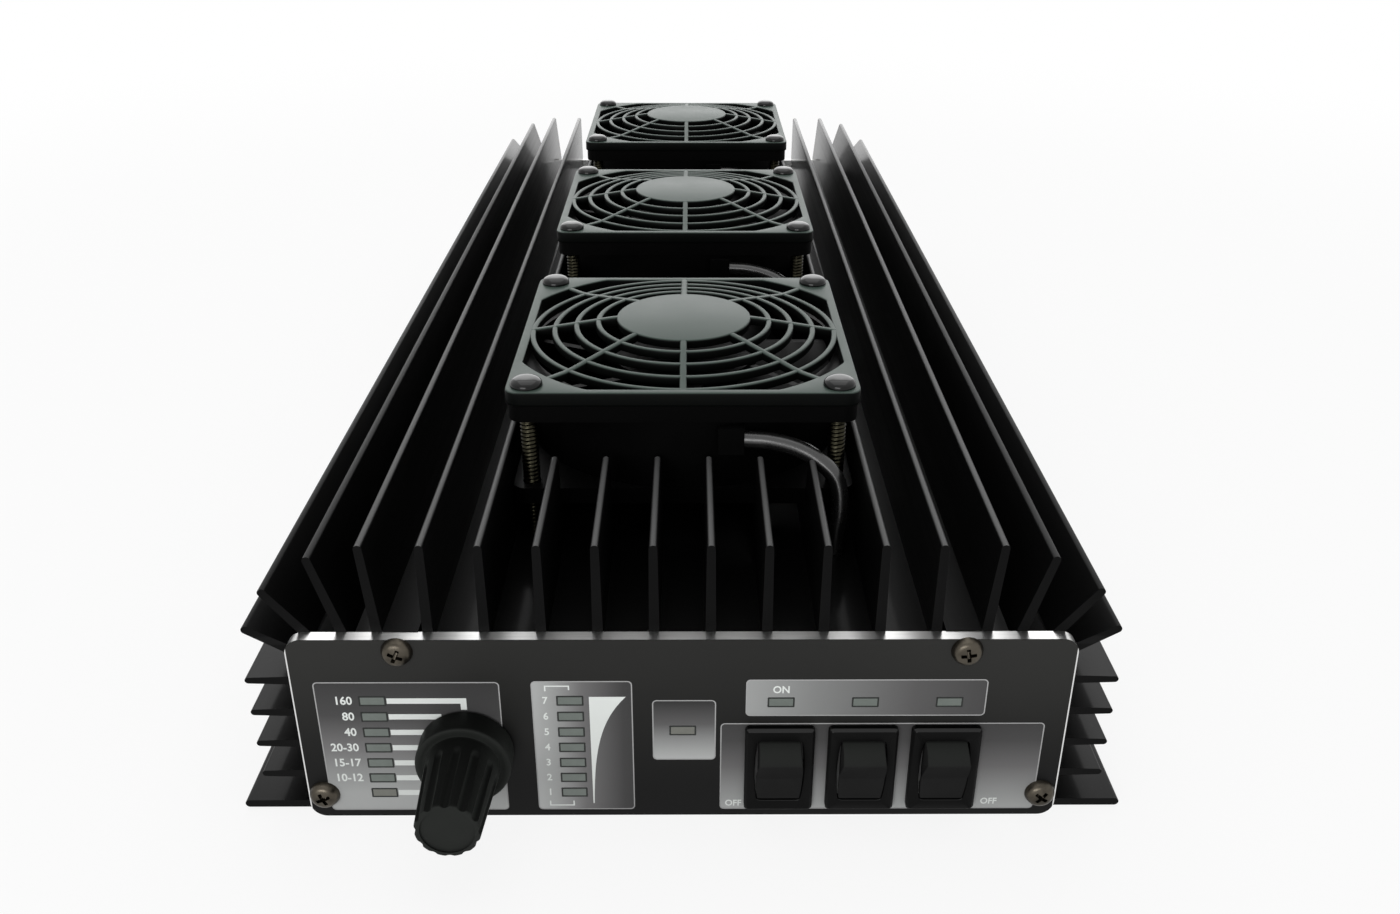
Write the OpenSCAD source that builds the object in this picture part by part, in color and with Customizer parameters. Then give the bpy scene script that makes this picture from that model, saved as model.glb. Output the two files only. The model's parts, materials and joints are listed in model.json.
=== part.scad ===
/* [Heat sink] */
// Length of the extruded heat sink
sink_len = 412; // [400:1:430]
// Height of the valley floor between the fins above the resting face
floor_z = 45; // [44:0.5:47]
// Thickness of the web under the fins
web_t = 8; // [7:0.5:9]
// Thickness of the side walls
wall_t = 6; // [5:0.5:7]
// Distance from the outermost upright fin to the outer face of the side wall
shoulder_w = 28.4; // [27:0.2:30]
// Height of the upright fin tips above the resting face
fin_tip_z = 68; // [65:0.5:70]
// Thickness of a fin at its root
fin_root_t = 2.3; // [2:0.1:2.6]
// Thickness of a fin at its rounded tip
fin_tip_t = 1.8; // [1.5:0.1:1.9]
// Height of the milled-down fins that carry the fans
seat_z = 54.9; // [53:0.1:57]
// Reach of the level side fins beyond the side wall
side_fin_reach = 11.6; // [9:0.2:13]
// Height of the lowest side fin
side_fin_z = 9.6; // [8:0.2:10]
// Spacing of the side fins
side_fin_pitch = 8.4; // [8:0.1:8.8]
// Reach of the foot flange beyond the side wall
foot_reach = 16.7; // [14:0.2:19]
// Thickness of the foot flange
foot_t = 1.9; // [1.6:0.1:2.6]

/* [End panels] */
// Thickness of the front and rear panels
panel_t = 3; // [2.5:0.1:4]
// Overlap of a panel past the outer face of the side wall
panel_edge = 1; // [0.5:0.1:1.5]
// Rise of a panel above the valley floor
panel_rise = 2.2; // [1.8:0.1:3]
// Corner radius of the panels
panel_r = 3.5; // [2:0.1:5]
// Distance of the upper panel screws from the centre plane
top_screw_x = 59.2; // [58.5:0.1:60]
// Height of the lower panel screws
low_screw_z = 6.4; // [6:0.1:8]
// Head diameter of the panel screws
panel_head_d = 6.7; // [5.5:0.1:7]
// Height of the panel screw heads
panel_head_h = 2.2; // [1.6:0.1:2.8]

/* [Bottom cover] */
// Thickness of the bottom cover
cover_t = 2; // [1.5:0.1:2.5]
// Number of cover screws along each side
cover_screws = 5; // [3:1:7]

/* [Fans] */
// Side of the square fan frames
fan_size = 80; // [78:0.5:82]
// Depth of a fan
fan_t = 25; // [22:0.5:27]
// Spacing of the fan centres
fan_pitch = 124.5; // [118:0.5:130]
// Distance of a mounting hole's centre from the sides of a fan
fan_hole_inset = 4.25; // [4:0.05:4.5]
// Diameter of the mounting holes of a fan
fan_hole_d = 4.3; // [4.1:0.1:4.5]
// Thickness of the fan flanges
flange_t = 4; // [3:0.2:5]
// Wall of the round fan duct at its thinnest
duct_t = 1.8; // [1.5:0.1:2.2]
// Diameter of the fan hub
hub_d = 37; // [34:0.5:39]
// Number of blades on a fan rotor
blades = 7; // [5:1:9]
// Thickness of a fan blade
blade_t = 1.4; // [1.2:0.1:1.8]
// Running gap between the blade tips and the duct
blade_gap = 0.7; // [0.5:0.1:1]
// Diameter of the rotor shaft
rotor_shaft_d = 3; // [2.5:0.1:4]

/* [Fan guards] */
// Thickness of a guard frame
guard_t = 3.5; // [3:0.1:4]
// Overhang of a guard past the fan on each side
guard_over = 0.5; // [0:0.1:1]
// Radius of a guard's corners
guard_r = 3; // [2.5:0.5:4.5]
// Radius of the centre disc
disc_r = 16.9; // [15:0.1:18]
// Rise of the centre disc above the guard frame
disc_rise = 3.3; // [2.6:0.1:4]
// Number of rings round the centre disc
guard_rings = 4; // [3:1:5]
// Width of a ring
ring_w = 1.5; // [1.2:0.1:1.8]
// Width of a spoke
spoke_w = 1.8; // [1.5:0.1:2.4]
// Depth of the rings and spokes
grille_t = 2.2; // [1.8:0.1:2.6]
// Diameter of the domed screw caps
cap_d = 7.5; // [7:0.1:8]
// Height of the domed screw caps
cap_h = 2; // [1.8:0.1:2.6]

/* [Fan leads] */
// Diameter of the sleeved fan leads
lead_d = 4; // [3.4:0.1:4.4]

/* [Rotary switch and knob] */
// Distance of the knob axis from the centre plane
knob_x = -46.6; // [-47.4:0.1:-45]
// Height of the knob axis
knob_z = 19.1; // [17.5:0.1:20]
// Diameter of the knob skirt
skirt_d = 20.4; // [19:0.2:22]
// Depth of the knob skirt
skirt_t = 5.8; // [5:0.1:7]
// Diameter of the fluted grip where it meets the skirt
grip_d = 15.9; // [14.5:0.1:17]
// Diameter of the fluted grip at its front
grip_front_d = 13.4; // [12.5:0.1:14]
// Distance from the panel to the knob's front
knob_reach = 25.4; // [22:0.1:28]
// Number of flutes round the grip
flutes = 12; // [8:1:16]
// Depth of a flute
flute_depth = 0.6; // [0.4:0.1:0.8]
// Distance from the skirt to the start of the flutes
flute_start = 4; // [1.8:0.1:6]
// Gap between the knob and the panel
knob_gap = 0.5; // [0.3:0.1:0.8]
// Diameter of the switch shaft
shaft_d = 6; // [5:0.1:6.4]
// Diameter of the threaded bushing
bushing_d = 9.5; // [8.5:0.1:10]

/* [Rocker switches] */
// Distance of the first rocker switch from the centre plane
rocker_x = 20.9; // [20:0.1:22]
// Spacing of the rocker switches
rocker_pitch = 17.9; // [17:0.1:18.5]
// Height of the rocker switch centres
rocker_z = 14; // [13.6:0.1:14.6]
// Width of a rocker bezel
bezel_w = 15; // [14.5:0.1:15.5]
// Height of a rocker bezel
bezel_h = 22.3; // [21.5:0.1:23]
// Depth of a rocker bezel in front of the panel
bezel_t = 1.9; // [1.6:0.1:2.4]
// Width of the opening in a rocker bezel at mid height
well_w = 10.7; // [10.2:0.1:11]
// Height of the opening in a rocker bezel
well_h = 16.2; // [16:0.1:16.6]
// How far each side of the opening bows out at mid height
well_bow = 0.6; // [0.4:0.1:0.8]
// Gap between a rocker and the sides of its opening
rocker_gap = 0.3; // [0.2:0.05:0.4]
// Travel of a rocker in degrees
rocker_travel = 40; // [36:1:44]
// Slope of each half of a rocker face in degrees
rocker_slope = 10; // [8:1:14]
// Diameter of the rocker pivot pins
pivot_d = 1.8; // [1.4:0.1:2]

/* [Indicator lights] */
// Width of a bar indicator
led_w = 5.7; // [5:0.1:6]
// Height of a bar indicator
led_h = 2.6; // [2.2:0.1:3]
// Height of the top row of indicators
led_top_z = 31.7; // [31.4:0.1:32]
// Spacing of the indicator rows
led_pitch = 4.16; // [3.9:0.02:4.2]
// Number of indicator rows
led_rows = 7; // [4:1:7]
// Distance of the band indicators from the centre plane
band_led_x = -65.7; // [-66:0.1:-65]
// Distance of the power indicators from the centre plane
power_led_x = -23.9; // [-24.5:0.1:-23]
// Height of the warning indicator
warning_led_z = 23.75; // [22:0.25:26]
// Height of the status indicators
status_led_z = 31.2; // [30.6:0.1:31.6]

/* [Boards] */
// Thickness of the circuit boards
board_t = 1.6; // [1.2:0.1:2]
// Distance of the boards below the web
board_drop = 6; // [5.6:0.1:6.5]
// Gap between the boards and the side walls
board_side = 6.5; // [5.5:0.5:10]
// Distance from the front panel to the main board
board_front = 30; // [28:1:36]
// Distance from the filter board to the rear panel
board_rear = 16; // [14:1:22]
// Gap between the main board and the filter board
board_split = 4; // [2:0.5:8]
// Length of the filter board
filter_len = 90; // [86:1:100]
// Distance from the front panel to the display board
display_gap = 8; // [7:0.2:9]

/* [Rear connectors] */
// Height of the rear connectors
rear_z = 20; // [19:0.2:21]
// Diameter of the threaded socket barrels
barrel_d = 15.88; // [15:0.01:16.5]
// Length of a socket barrel behind its flange
barrel_len = 13; // [11:0.5:15]
// Side of a square socket flange
socket_flange = 25.4; // [25:0.1:26]
// Spacing of the screws in a socket flange
socket_hole_pitch = 18.3; // [18:0.1:18.6]
// Distance of the input socket from the centre plane
input_x = 56; // [54:0.5:58]
// Distance of the output socket from the centre plane
output_x = 22; // [20:0.5:24]
// Distance of the control jack from the centre plane
jack_x = -12; // [-14:0.5:-8]
// Diameter of the control jack barrel
jack_d = 8.3; // [8:0.1:9]
// Distance of the cable gland from the centre plane
gland_x = -50; // [-54:0.5:-46]
// Bore of the cable gland
gland_bore = 10; // [9:0.1:11]
// Thread diameter of the cable gland
gland_thread = 16; // [15:0.1:18]
// Width across the flats of the cable gland
gland_flats = 22; // [21:0.5:24]

/* [Hidden] */
$fn = 48;
eps = 0.01;
fit = 0.05; // radial clearance of a screw or shaft in its hole
side_gap = 0.15; // clearance of a fan between the fins beside it

fin_rows = 5; // upright fins on each side of the centre plane
cut_rows = 3; // of these, the fins milled down under the fans
fin_pitch = (fan_size + 2 * side_gap + fin_root_t) / (2 * cut_rows + 1);
last_fin_x = (fin_rows - 0.5) * fin_pitch;
wall_x = last_fin_x + shoulder_w;
web_z = floor_z - web_t;
pad_z = floor_z + 2.4;
rail_w = 3;
rail_h = 10;
rebate_w = 3.1;
cavity_x = wall_x - wall_t;
pocket_x = cut_rows * fin_pitch;
pocket_end = 1.5;
pocket_len = 2 * fan_pitch + fan_size + 2 * pocket_end;
port_d = 3;
port_depth = 14;
low_screw_x = wall_x - 2.6;
top_screw_z = floor_z - 0.6;

front_y = -sink_len / 2;
rear_y = sink_len / 2;
face_y = front_y - panel_t;
back_y = rear_y + panel_t;
panel_w = 2 * (wall_x + panel_edge);
panel_z = 0.1;
panel_top = floor_z + panel_rise;

fan_y = [-fan_pitch, 0, fan_pitch];
fan_hole_pitch = fan_size - 2 * fan_hole_inset;
fan_top = seat_z + fan_t;
guard_top = fan_top + guard_t;
duct_r = fan_size / 2 - duct_t;
blade_r = duct_r - blade_gap;
hub_z = seat_z + 6;
blade_z = seat_z + 4.5;
hub_top = fan_top - 2.5;
blade_h = hub_top - blade_z - 0.5;
fan_screw_d = fan_hole_d - 0.4;
fan_screw_depth = 6;
cap_wall = 0.5;
ring_lap = 0.5; // lap of the outermost ring onto the guard frame
ring_pitch = (duct_r + ring_lap + 0.2 - disc_r) / guard_rings;

lead_r = lead_d / 2;
lead_hole_d = lead_d + 1;
lead_boss_x = 14;
lead_z = fan_top - 8.4;
lead_drop_x = pocket_x;
lead_drop_y = -(fan_size / 2 + 5.6);
connector_h = 5;
// centre line of a fan lead, from the boss on the fan duct to its connector under the web
lead_route = [
    [lead_boss_x, 0.6 - fan_size / 2, lead_z],
    [lead_boss_x + 6, 0.2 - fan_size / 2, lead_z],
    [lead_drop_x - 8.4, -fan_size / 2 - 0.5, lead_z - 0.5],
    [lead_drop_x - 2.4, -fan_size / 2 - 1.8, lead_z - 2.2],
    [lead_drop_x + 1.2, -fan_size / 2 - 3.6, lead_z - 7],
    [lead_drop_x + 0.8, -fan_size / 2 - 5, lead_z - 14],
    [lead_drop_x, lead_drop_y, lead_z - 21],
    [lead_drop_x, lead_drop_y, floor_z],
    [lead_drop_x, lead_drop_y, web_z - board_drop + connector_h]
];

nut_flats = 12;
nut_t = 2;
washer_t = 0.6;
washer_r = 6.6;
bushing_out = 4;
switch_r = 13;
switch_len = 16;
shaft_in = 10;
shaft_out = knob_reach - 4.5;
knob_cup_r = 7.6;
knob_cup_t = bushing_out + 0.4 - knob_gap;
dish_r = 5.8;
dish_t = 0.5;
flute_r = 1.15;

// a rocker in its own frame: f runs forward from the pivot and v runs up
half_travel = rocker_travel / 2;
rocker_w = well_w - 2 * rocker_gap;
rocker_r = well_h / 2 - rocker_gap;
valley_cover = 2; // material in front of the pivot pin where the two halves of the face meet
valley_f = pivot_d / 2 + valley_cover;
// length of one half of the face, which ends on the circle of radius rocker_r round the pivot
half_len = sqrt(pow(rocker_r, 2) - pow(valley_f * cos(rocker_slope), 2)) - valley_f * sin(rocker_slope);
edge_f = valley_f + half_len * sin(rocker_slope);
edge_v = half_len * cos(rocker_slope);
// the lower half lies flush with the bezel where its outer end meets the bezel's front face
pivot_depth = edge_f * cos(half_travel) - edge_v * sin(half_travel);
bezel_y = face_y - bezel_t;
pivot_y = bezel_y + pivot_depth;
rocker_back = 3.3;
back_v = sqrt(pow(rocker_r, 2) - pow(rocker_back, 2));
well_depth = pivot_depth + rocker_back * cos(half_travel) + back_v * sin(half_travel) + 0.4;
bezel_r = 1.5;
bezel_chamfer = 0.7;
well_r = 1.6;
// radius of the bowed sides of the opening
bow_r = (pow(well_h / 2, 2) + pow(well_bow, 2)) / (2 * well_bow);
body_w = bezel_w - 2;
body_h = bezel_h - 2.4;
body_len = 17;
cutout_gap = 0.1;
tab_len = 7;

led_fit = 0.1;
led_recess = 0.15;
display_y = front_y + display_gap;
display_z = 4;
display_top = web_z - 1;
display_left = -(cavity_x - rail_w - 0.5);
display_right = 8;
strip_z = rocker_z + bezel_h / 2 + 2.2;
strip_right = rocker_x + 2 * rocker_pitch + 12;
display_posts = [
    [display_left + 1.8, display_top - 2.6],
    [display_left + 1.8, display_z + 2.6],
    [display_right - 4, display_z + 4],
    [strip_right - 3, status_led_z]
];
post_r = 1.5;
post_pin_r = 0.8;

board_top = web_z - board_drop;
board_z = board_top - board_t;
board_w = 2 * (cavity_x - board_side);
main_y = front_y + board_front;
filter_y = rear_y - board_rear - filter_len;
main_end = filter_y - board_split;
main_len = main_end - main_y;
board_screw_d = 3;
board_screw_inset = 5;
board_head_d = 5.6;
board_head_h = 1.8;
spacer_r = 3.2;
// [x, y] of the screws that hold a board from y0 to y1, in rows of two
function board_screws_at(y0, y1, rows) = [
    for (s = [-1, 1], i = [0 : rows - 1])
        [s * (board_w / 2 - board_screw_inset),
         y0 + board_screw_inset + 2 + i * (y1 - y0 - 2 * board_screw_inset - 4) / (rows - 1)]
];
main_screws = board_screws_at(main_y, main_end, 4);
filter_screws = board_screws_at(filter_y, filter_y + filter_len, 2);

// parts on the boards: those of the input side are placed from the main board's front end
relay_w = 13;
relay_len = 30;
relay_h = 16;
relay_x = 52;
relay_y = main_y + 36;
driver_r = 6;
driver_bore_r = 2.4;
driver_len = 22;
driver_y = main_y + 38;
transistor_x = 20;
transistor_y = [main_y + 80, main_y + 110];
transistor_d = 9.6;
transistor_screw_x = 9;
transistor_head_d = 5.4;
transistor_head_h = 2;
flange_l = 25;
flange_w = 10;
flange_h = 1.6;
core_r = 12;
core_bore_r = 5;
core_len = 46;
core_y = main_y + 135;
core_plate_t = 1.6;
core_gap = 0.5;
// and those of the supply from its rear end
choke_r = 10;
choke_wire_r = 6;
choke_x = 46;
choke_y = main_end - 34;
capacitor_x = [-54, -34];
tall_capacitor = [8, 22, main_end - 56]; // radius, height and y
short_capacitor = [6, 18, main_end - 30];
// the filter board has one column of two coils and a relay for each band
filter_columns = 6;
filter_pitch = 22;
coil_r = 6.2;
coil_wire_r = 3.5;
coil_inset = 18;
filter_relay_w = 15;
filter_relay_len = 22;
filter_relay_h = 12;

cover_hole_d = 3.1;
cover_sink_d = 5.8; // width of a countersink at the cover's outer face
cover_sink_h = 1.5;
cover_screw_d = 2.4;
cover_play = 0.2; // clearance of a screw head in its countersink, across the diameter

socket_flange_t = 2;
socket_in = 9;
socket_hole_d = 3.1;
contact_d = 4;
jack_flange_d = 11;
jack_flange_t = 1.5;
jack_len = 10;
jack_thread = 6.4;
jack_bore = 3.3;
jack_nut_d = 10;
jack_nut_t = 2;
gland_nut_t = 5;
gland_hex_t = 6;
gland_cap_d = gland_flats - 2;
gland_cap_len = 8;
gland_taper = 4;
gland_wall = 2;

// 2D drawing with x across and y up, extruded from y0 to y1 along the depth of the amplifier
module along_y(y0, y1) {
    translate([0, y1, 0]) rotate([90, 0, 0]) linear_extrude(y1 - y0) children();
}

module rod_y(x, z, y0, y1, d) {
    translate([x, y0, z]) rotate([-90, 0, 0]) cylinder(h = y1 - y0, d = d);
}

module box_at(x0, x1, y0, y1, z0, z1) {
    translate([x0, y0, z0]) cube([x1 - x0, y1 - y0, z1 - z0]);
}

module rounded_rect(x0, x1, z0, z1, r) {
    translate([x0 + r, z0]) square([x1 - x0 - 2 * r, z1 - z0]);
    translate([x0, z0 + r]) square([x1 - x0, z1 - z0 - 2 * r]);
    for (x = [x0 + r, x1 - r], z = [z0 + r, z1 - r]) translate([x, z]) circle(r);
}

module centred_rounded(w, h, r) {
    rounded_rect(-w / 2, w / 2, -h / 2, h / 2, r);
}

// one tapered fin with a rounded tip
module fin(root, tip, t0, t1) {
    len = norm(tip - root);
    u = (tip - root) / len;
    n = [-u[1], u[0]];
    end = tip - u * t1 / 2;
    polygon([root + n * t0 / 2, root - n * t0 / 2, end - n * t1 / 2, end + n * t1 / 2]);
    translate(end) circle(t1 / 2);
}

module sink_body_half() {
    polygon([
        [0, web_z], [cavity_x, web_z], [cavity_x, cover_t + rail_h + rail_w],
        [cavity_x - rail_w, cover_t + rail_h], [cavity_x - rail_w, cover_t],
        [cavity_x + rebate_w, cover_t], [cavity_x + rebate_w, 0], [wall_x, 0],
        [wall_x, floor_z - 3], [wall_x - 2.5, floor_z], [wall_x - 5.5, floor_z + 1.6],
        [wall_x - 10, floor_z], [wall_x - 17, floor_z], [wall_x - 18, pad_z],
        [last_fin_x + 2, pad_z], [last_fin_x + 2, floor_z], [0, floor_z]
    ]);
}

module sink_fins_half() {
    for (i = [0 : fin_rows - 1]) {
        x = (i + 0.5) * fin_pitch;
        fin([x, floor_z - 1], [x, fin_tip_z], fin_root_t, fin_tip_t);
    }
    fin([wall_x - 18.1, floor_z - 1], [wall_x - 16, fin_tip_z], fin_root_t, fin_tip_t);
    fin([wall_x - 11.4, floor_z - 1], [wall_x - 5.2, fin_tip_z - 2.7], fin_root_t, fin_tip_t);
    fin([wall_x - 4.4, floor_z], [wall_x + 5.3, floor_z + 12.5], fin_root_t, fin_tip_t);
    fin([wall_x - 1.6, floor_z - 3.7], [wall_x + 10.3, floor_z + 3.1], fin_root_t, fin_tip_t);
    for (i = [0 : 3]) {
        z = side_fin_z + i * side_fin_pitch;
        fin([wall_x - 1, z], [wall_x + side_fin_reach, z], 2.2, 1.5);
    }
    fin([wall_x - 1, foot_t / 2], [wall_x + foot_reach, foot_t / 2], foot_t, foot_t);
}

module sink_profile() {
    for (s = [0, 1]) mirror([s, 0]) {
        sink_body_half();
        sink_fins_half();
    }
}

module panel_ports(y0, y1, d) {
    for (s = [-1, 1]) {
        rod_y(s * top_screw_x, top_screw_z, y0, y1, d);
        rod_y(s * low_screw_x, low_screw_z, y0, y1, d);
    }
}

function cover_screw_y(i) = -sink_len / 2 + 16 + i * (sink_len - 32) / (cover_screws - 1);
cover_screw_x = cavity_x - 0.3;

module heat_sink() {
    color([0.05, 0.05, 0.06]) difference() {
        along_y(front_y, rear_y) sink_profile();
        box_at(-pocket_x, pocket_x, -pocket_len / 2, pocket_len / 2, seat_z, fin_tip_z + 1);
        panel_ports(front_y - 1, front_y + port_depth, port_d);
        panel_ports(rear_y - port_depth, rear_y + 1, port_d);
        for (y = fan_y) {
            for (i = [-1, 1], j = [-1, 1])
                translate([i * fan_hole_pitch / 2, y + j * fan_hole_pitch / 2, floor_z - fan_screw_depth])
                    cylinder(h = fan_screw_depth + 1, d = fan_screw_d + 2 * fit);
            translate([lead_drop_x, y + lead_drop_y, web_z - 1]) cylinder(h = web_t + 2, d = lead_hole_d);
        }
        for (p = concat(main_screws, filter_screws))
            translate([p[0], p[1], web_z - 1]) cylinder(h = 5, d = board_screw_d);
        for (x = [-1, 1] * transistor_x, y = transistor_y, j = [-1, 1])
            translate([x + j * transistor_screw_x, y, web_z - 1]) cylinder(h = 5, d = board_screw_d);
        for (s = [-1, 1], i = [0 : cover_screws - 1])
            translate([s * cover_screw_x, cover_screw_y(i), cover_t - 1])
                cylinder(h = 8, d = cover_screw_d + 2 * fit);
    }
}

module panel_outline() {
    rounded_rect(-panel_w / 2, panel_w / 2, panel_z, panel_top, panel_r);
}

function led_row_z(i) = led_top_z - i * led_pitch;
function rocker_at(i) = rocker_x + i * rocker_pitch;

module bar_light(x, z, y0, y1, grow) {
    box_at(x - led_w / 2 + grow, x + led_w / 2 - grow, y0, y1, z - led_h / 2 + grow, z + led_h / 2 - grow);
}

module front_panel() {
    color([0.16, 0.17, 0.17]) difference() {
        along_y(face_y, front_y) panel_outline();
        panel_ports(face_y - 1, front_y + 1, port_d + 0.2);
        rod_y(knob_x, knob_z, face_y - 1, front_y + 1, bushing_d + 0.2);
        for (i = [0 : 2]) translate([rocker_at(i), 0, rocker_z]) along_y(face_y - 1, front_y + 1)
            square([body_w + 2 * cutout_gap, body_h + 2 * cutout_gap], center = true);
        for (i = [0 : led_rows - 1], x = [band_led_x, power_led_x])
            bar_light(x, led_row_z(i), face_y - 1, front_y + 1, 0);
        bar_light(0, warning_led_z, face_y - 1, front_y + 1, 0);
        for (i = [0 : 2]) bar_light(rocker_at(i), status_led_z, face_y - 1, front_y + 1, 0);
    }
}

// raised cross-head screw whose head seats at y = 0 and whose shank runs along +y
module cross_screw(head_d, head_h, shank_d, shank_len) {
    rotate([90, 0, 0]) {
        difference() {
            intersection() {
                cylinder(h = head_h, d = head_d);
                translate([0, 0, head_h - head_d * 0.75]) sphere(r = head_d * 0.75);
            }
            for (a = [0, 90]) rotate(a) translate([-head_d * 0.27, -0.4, head_h * 0.45])
                cube([head_d * 0.54, 0.8, head_h]);
        }
        translate([0, 0, -shank_len]) cylinder(h = shank_len + 0.2, d = shank_d);
    }
}

module panel_screw_set() {
    for (s = [-1, 1]) {
        translate([s * top_screw_x, face_y, top_screw_z])
            cross_screw(panel_head_d, panel_head_h, port_d - 2 * fit, panel_t + port_depth - 2);
        translate([s * low_screw_x, face_y, low_screw_z])
            cross_screw(panel_head_d, panel_head_h, port_d - 2 * fit, panel_t + port_depth - 2);
    }
}

module front_panel_screws() {
    color([0.2, 0.17, 0.14]) panel_screw_set();
}

module rear_panel_screws() {
    color([0.2, 0.17, 0.14]) mirror([0, 1, 0]) panel_screw_set();
}

module socket_holes(x, y0, y1, d) {
    for (i = [-1, 1], j = [-1, 1])
        rod_y(x + i * socket_hole_pitch / 2, rear_z + j * socket_hole_pitch / 2, y0, y1, d);
}

module rear_panel() {
    color([0.16, 0.17, 0.17]) difference() {
        along_y(rear_y, back_y) panel_outline();
        panel_ports(rear_y - 1, back_y + 1, port_d + 0.2);
        for (x = [input_x, output_x]) {
            rod_y(x, rear_z, rear_y - 1, back_y + 1, barrel_d + 0.3);
            socket_holes(x, rear_y - 1, back_y + 1, socket_hole_d);
        }
        rod_y(jack_x, rear_z, rear_y - 1, back_y + 1, jack_thread + 0.2);
        rod_y(gland_x, rear_z, rear_y - 1, back_y + 1, gland_thread + 0.2);
    }
}

module bottom_cover() {
    half = cavity_x + rebate_w - 0.15;
    color([0.1, 0.1, 0.11]) difference() {
        box_at(-half, half, front_y, rear_y, 0, cover_t - 0.05);
        for (s = [-1, 1], i = [0 : cover_screws - 1]) translate([s * cover_screw_x, cover_screw_y(i), 0]) {
            translate([0, 0, -1]) cylinder(h = cover_t + 2, d = cover_hole_d);
            translate([0, 0, -eps])
                cylinder(h = cover_sink_h, d1 = cover_sink_d, d2 = cover_sink_d - 2 * cover_sink_h);
        }
    }
}

module cover_screws() {
    head_z = 0.1;
    head_d = cover_sink_d - 2 * head_z - cover_play;
    head_h = cover_sink_h - head_z;
    slot_d = head_d / 2;
    color([0.3, 0.3, 0.3]) for (s = [-1, 1], i = [0 : cover_screws - 1])
        translate([s * cover_screw_x, cover_screw_y(i), head_z]) {
            difference() {
                cylinder(h = head_h, d1 = head_d, d2 = head_d - 2 * head_h);
                for (a = [0, 90]) rotate(a) translate([-slot_d / 2, -0.35, -1]) cube([slot_d, 0.7, 1.7]);
            }
            translate([0, 0, head_h - 0.2]) cylinder(h = cover_t + 3.5, d = cover_screw_d);
        }
}

module fan_holes(z0, z1, d) {
    for (i = [-1, 1], j = [-1, 1])
        translate([i * fan_hole_pitch / 2, j * fan_hole_pitch / 2, z0]) cylinder(h = z1 - z0, d = d);
}

module fan_frame(y) {
    base_r = hub_d / 2;
    color([0.04, 0.04, 0.05]) translate([0, y, 0]) difference() {
        union() {
            for (z = [seat_z, fan_top - flange_t])
                translate([0, 0, z]) linear_extrude(flange_t) centred_rounded(fan_size, fan_size, 3.5);
            translate([0, 0, seat_z]) cylinder(h = fan_t, r = fan_size / 2 - 0.1);
            translate([lead_boss_x - 6, -fan_size / 2 - 1.4, lead_z - 3.2]) cube([6, 5, 6.4]);
        }
        difference() {
            translate([0, 0, seat_z - 1]) cylinder(h = fan_t + 2, r = duct_r);
            translate([0, 0, seat_z - 2]) cylinder(h = 2 + flange_t, r = base_r);
            for (a = [45 : 90 : 315]) rotate(a)
                translate([base_r - 1, -2.5, seat_z]) cube([duct_r - base_r + 2, 5, flange_t - 0.6]);
            translate([0, 0, seat_z]) cylinder(h = fan_t - 8, r = rotor_shaft_d / 2 + 2.2);
        }
        translate([0, 0, seat_z - 3]) cylinder(h = 3, r = base_r + 1);
        translate([0, 0, seat_z + 1]) cylinder(h = fan_t, d = rotor_shaft_d + 2 * fit);
        fan_holes(seat_z - 1, fan_top + 1, fan_hole_d);
    }
}

// a cambered blade whose section, seen along its radius, is a circular arc
module blade() {
    half_t = 9.2;
    chord = norm([2 * half_t, blade_h]);
    camber_r = chord * 1.25;
    sag = sqrt(pow(camber_r, 2) - pow(chord / 2, 2));
    centre_t = sag * blade_h / chord;
    centre_z = blade_z + blade_h / 2 - sag * 2 * half_t / chord;
    intersection() {
        translate([0, 0, blade_z]) cylinder(h = blade_h, r = blade_r);
        box_at(hub_d / 2 - 1.2, blade_r + 1, -half_t, half_t, blade_z, blade_z + blade_h);
        translate([0, centre_t, centre_z]) rotate([0, 90, 0]) difference() {
            cylinder(h = fan_size, r = camber_r + blade_t / 2);
            translate([0, 0, -1]) cylinder(h = fan_size + 2, r = camber_r - blade_t / 2);
        }
    }
}

module fan_rotor(y) {
    color([0.03, 0.03, 0.03]) translate([0, y, 0]) {
        difference() {
            union() {
                translate([0, 0, hub_z]) cylinder(h = hub_top - hub_z, d = hub_d);
                for (i = [0 : blades - 1]) rotate(i * 360 / blades) blade();
            }
            translate([0, 0, seat_z]) cylinder(h = hub_top - seat_z - 1.8, d = hub_d - 3.2);
        }
        translate([0, 0, seat_z + 2]) cylinder(h = hub_top - seat_z - 3, d = rotor_shaft_d);
    }
}

module spoke(a, r0, r1) {
    slope = atan2(disc_rise, duct_r - disc_r);
    rotate(a) translate([r0, 0, guard_top + disc_rise * (duct_r - r0) / (duct_r - disc_r)])
        rotate([0, slope, 0]) translate([0, -spoke_w / 2, -grille_t])
            cube([(r1 - r0) / cos(slope), spoke_w, grille_t]);
}

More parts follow.
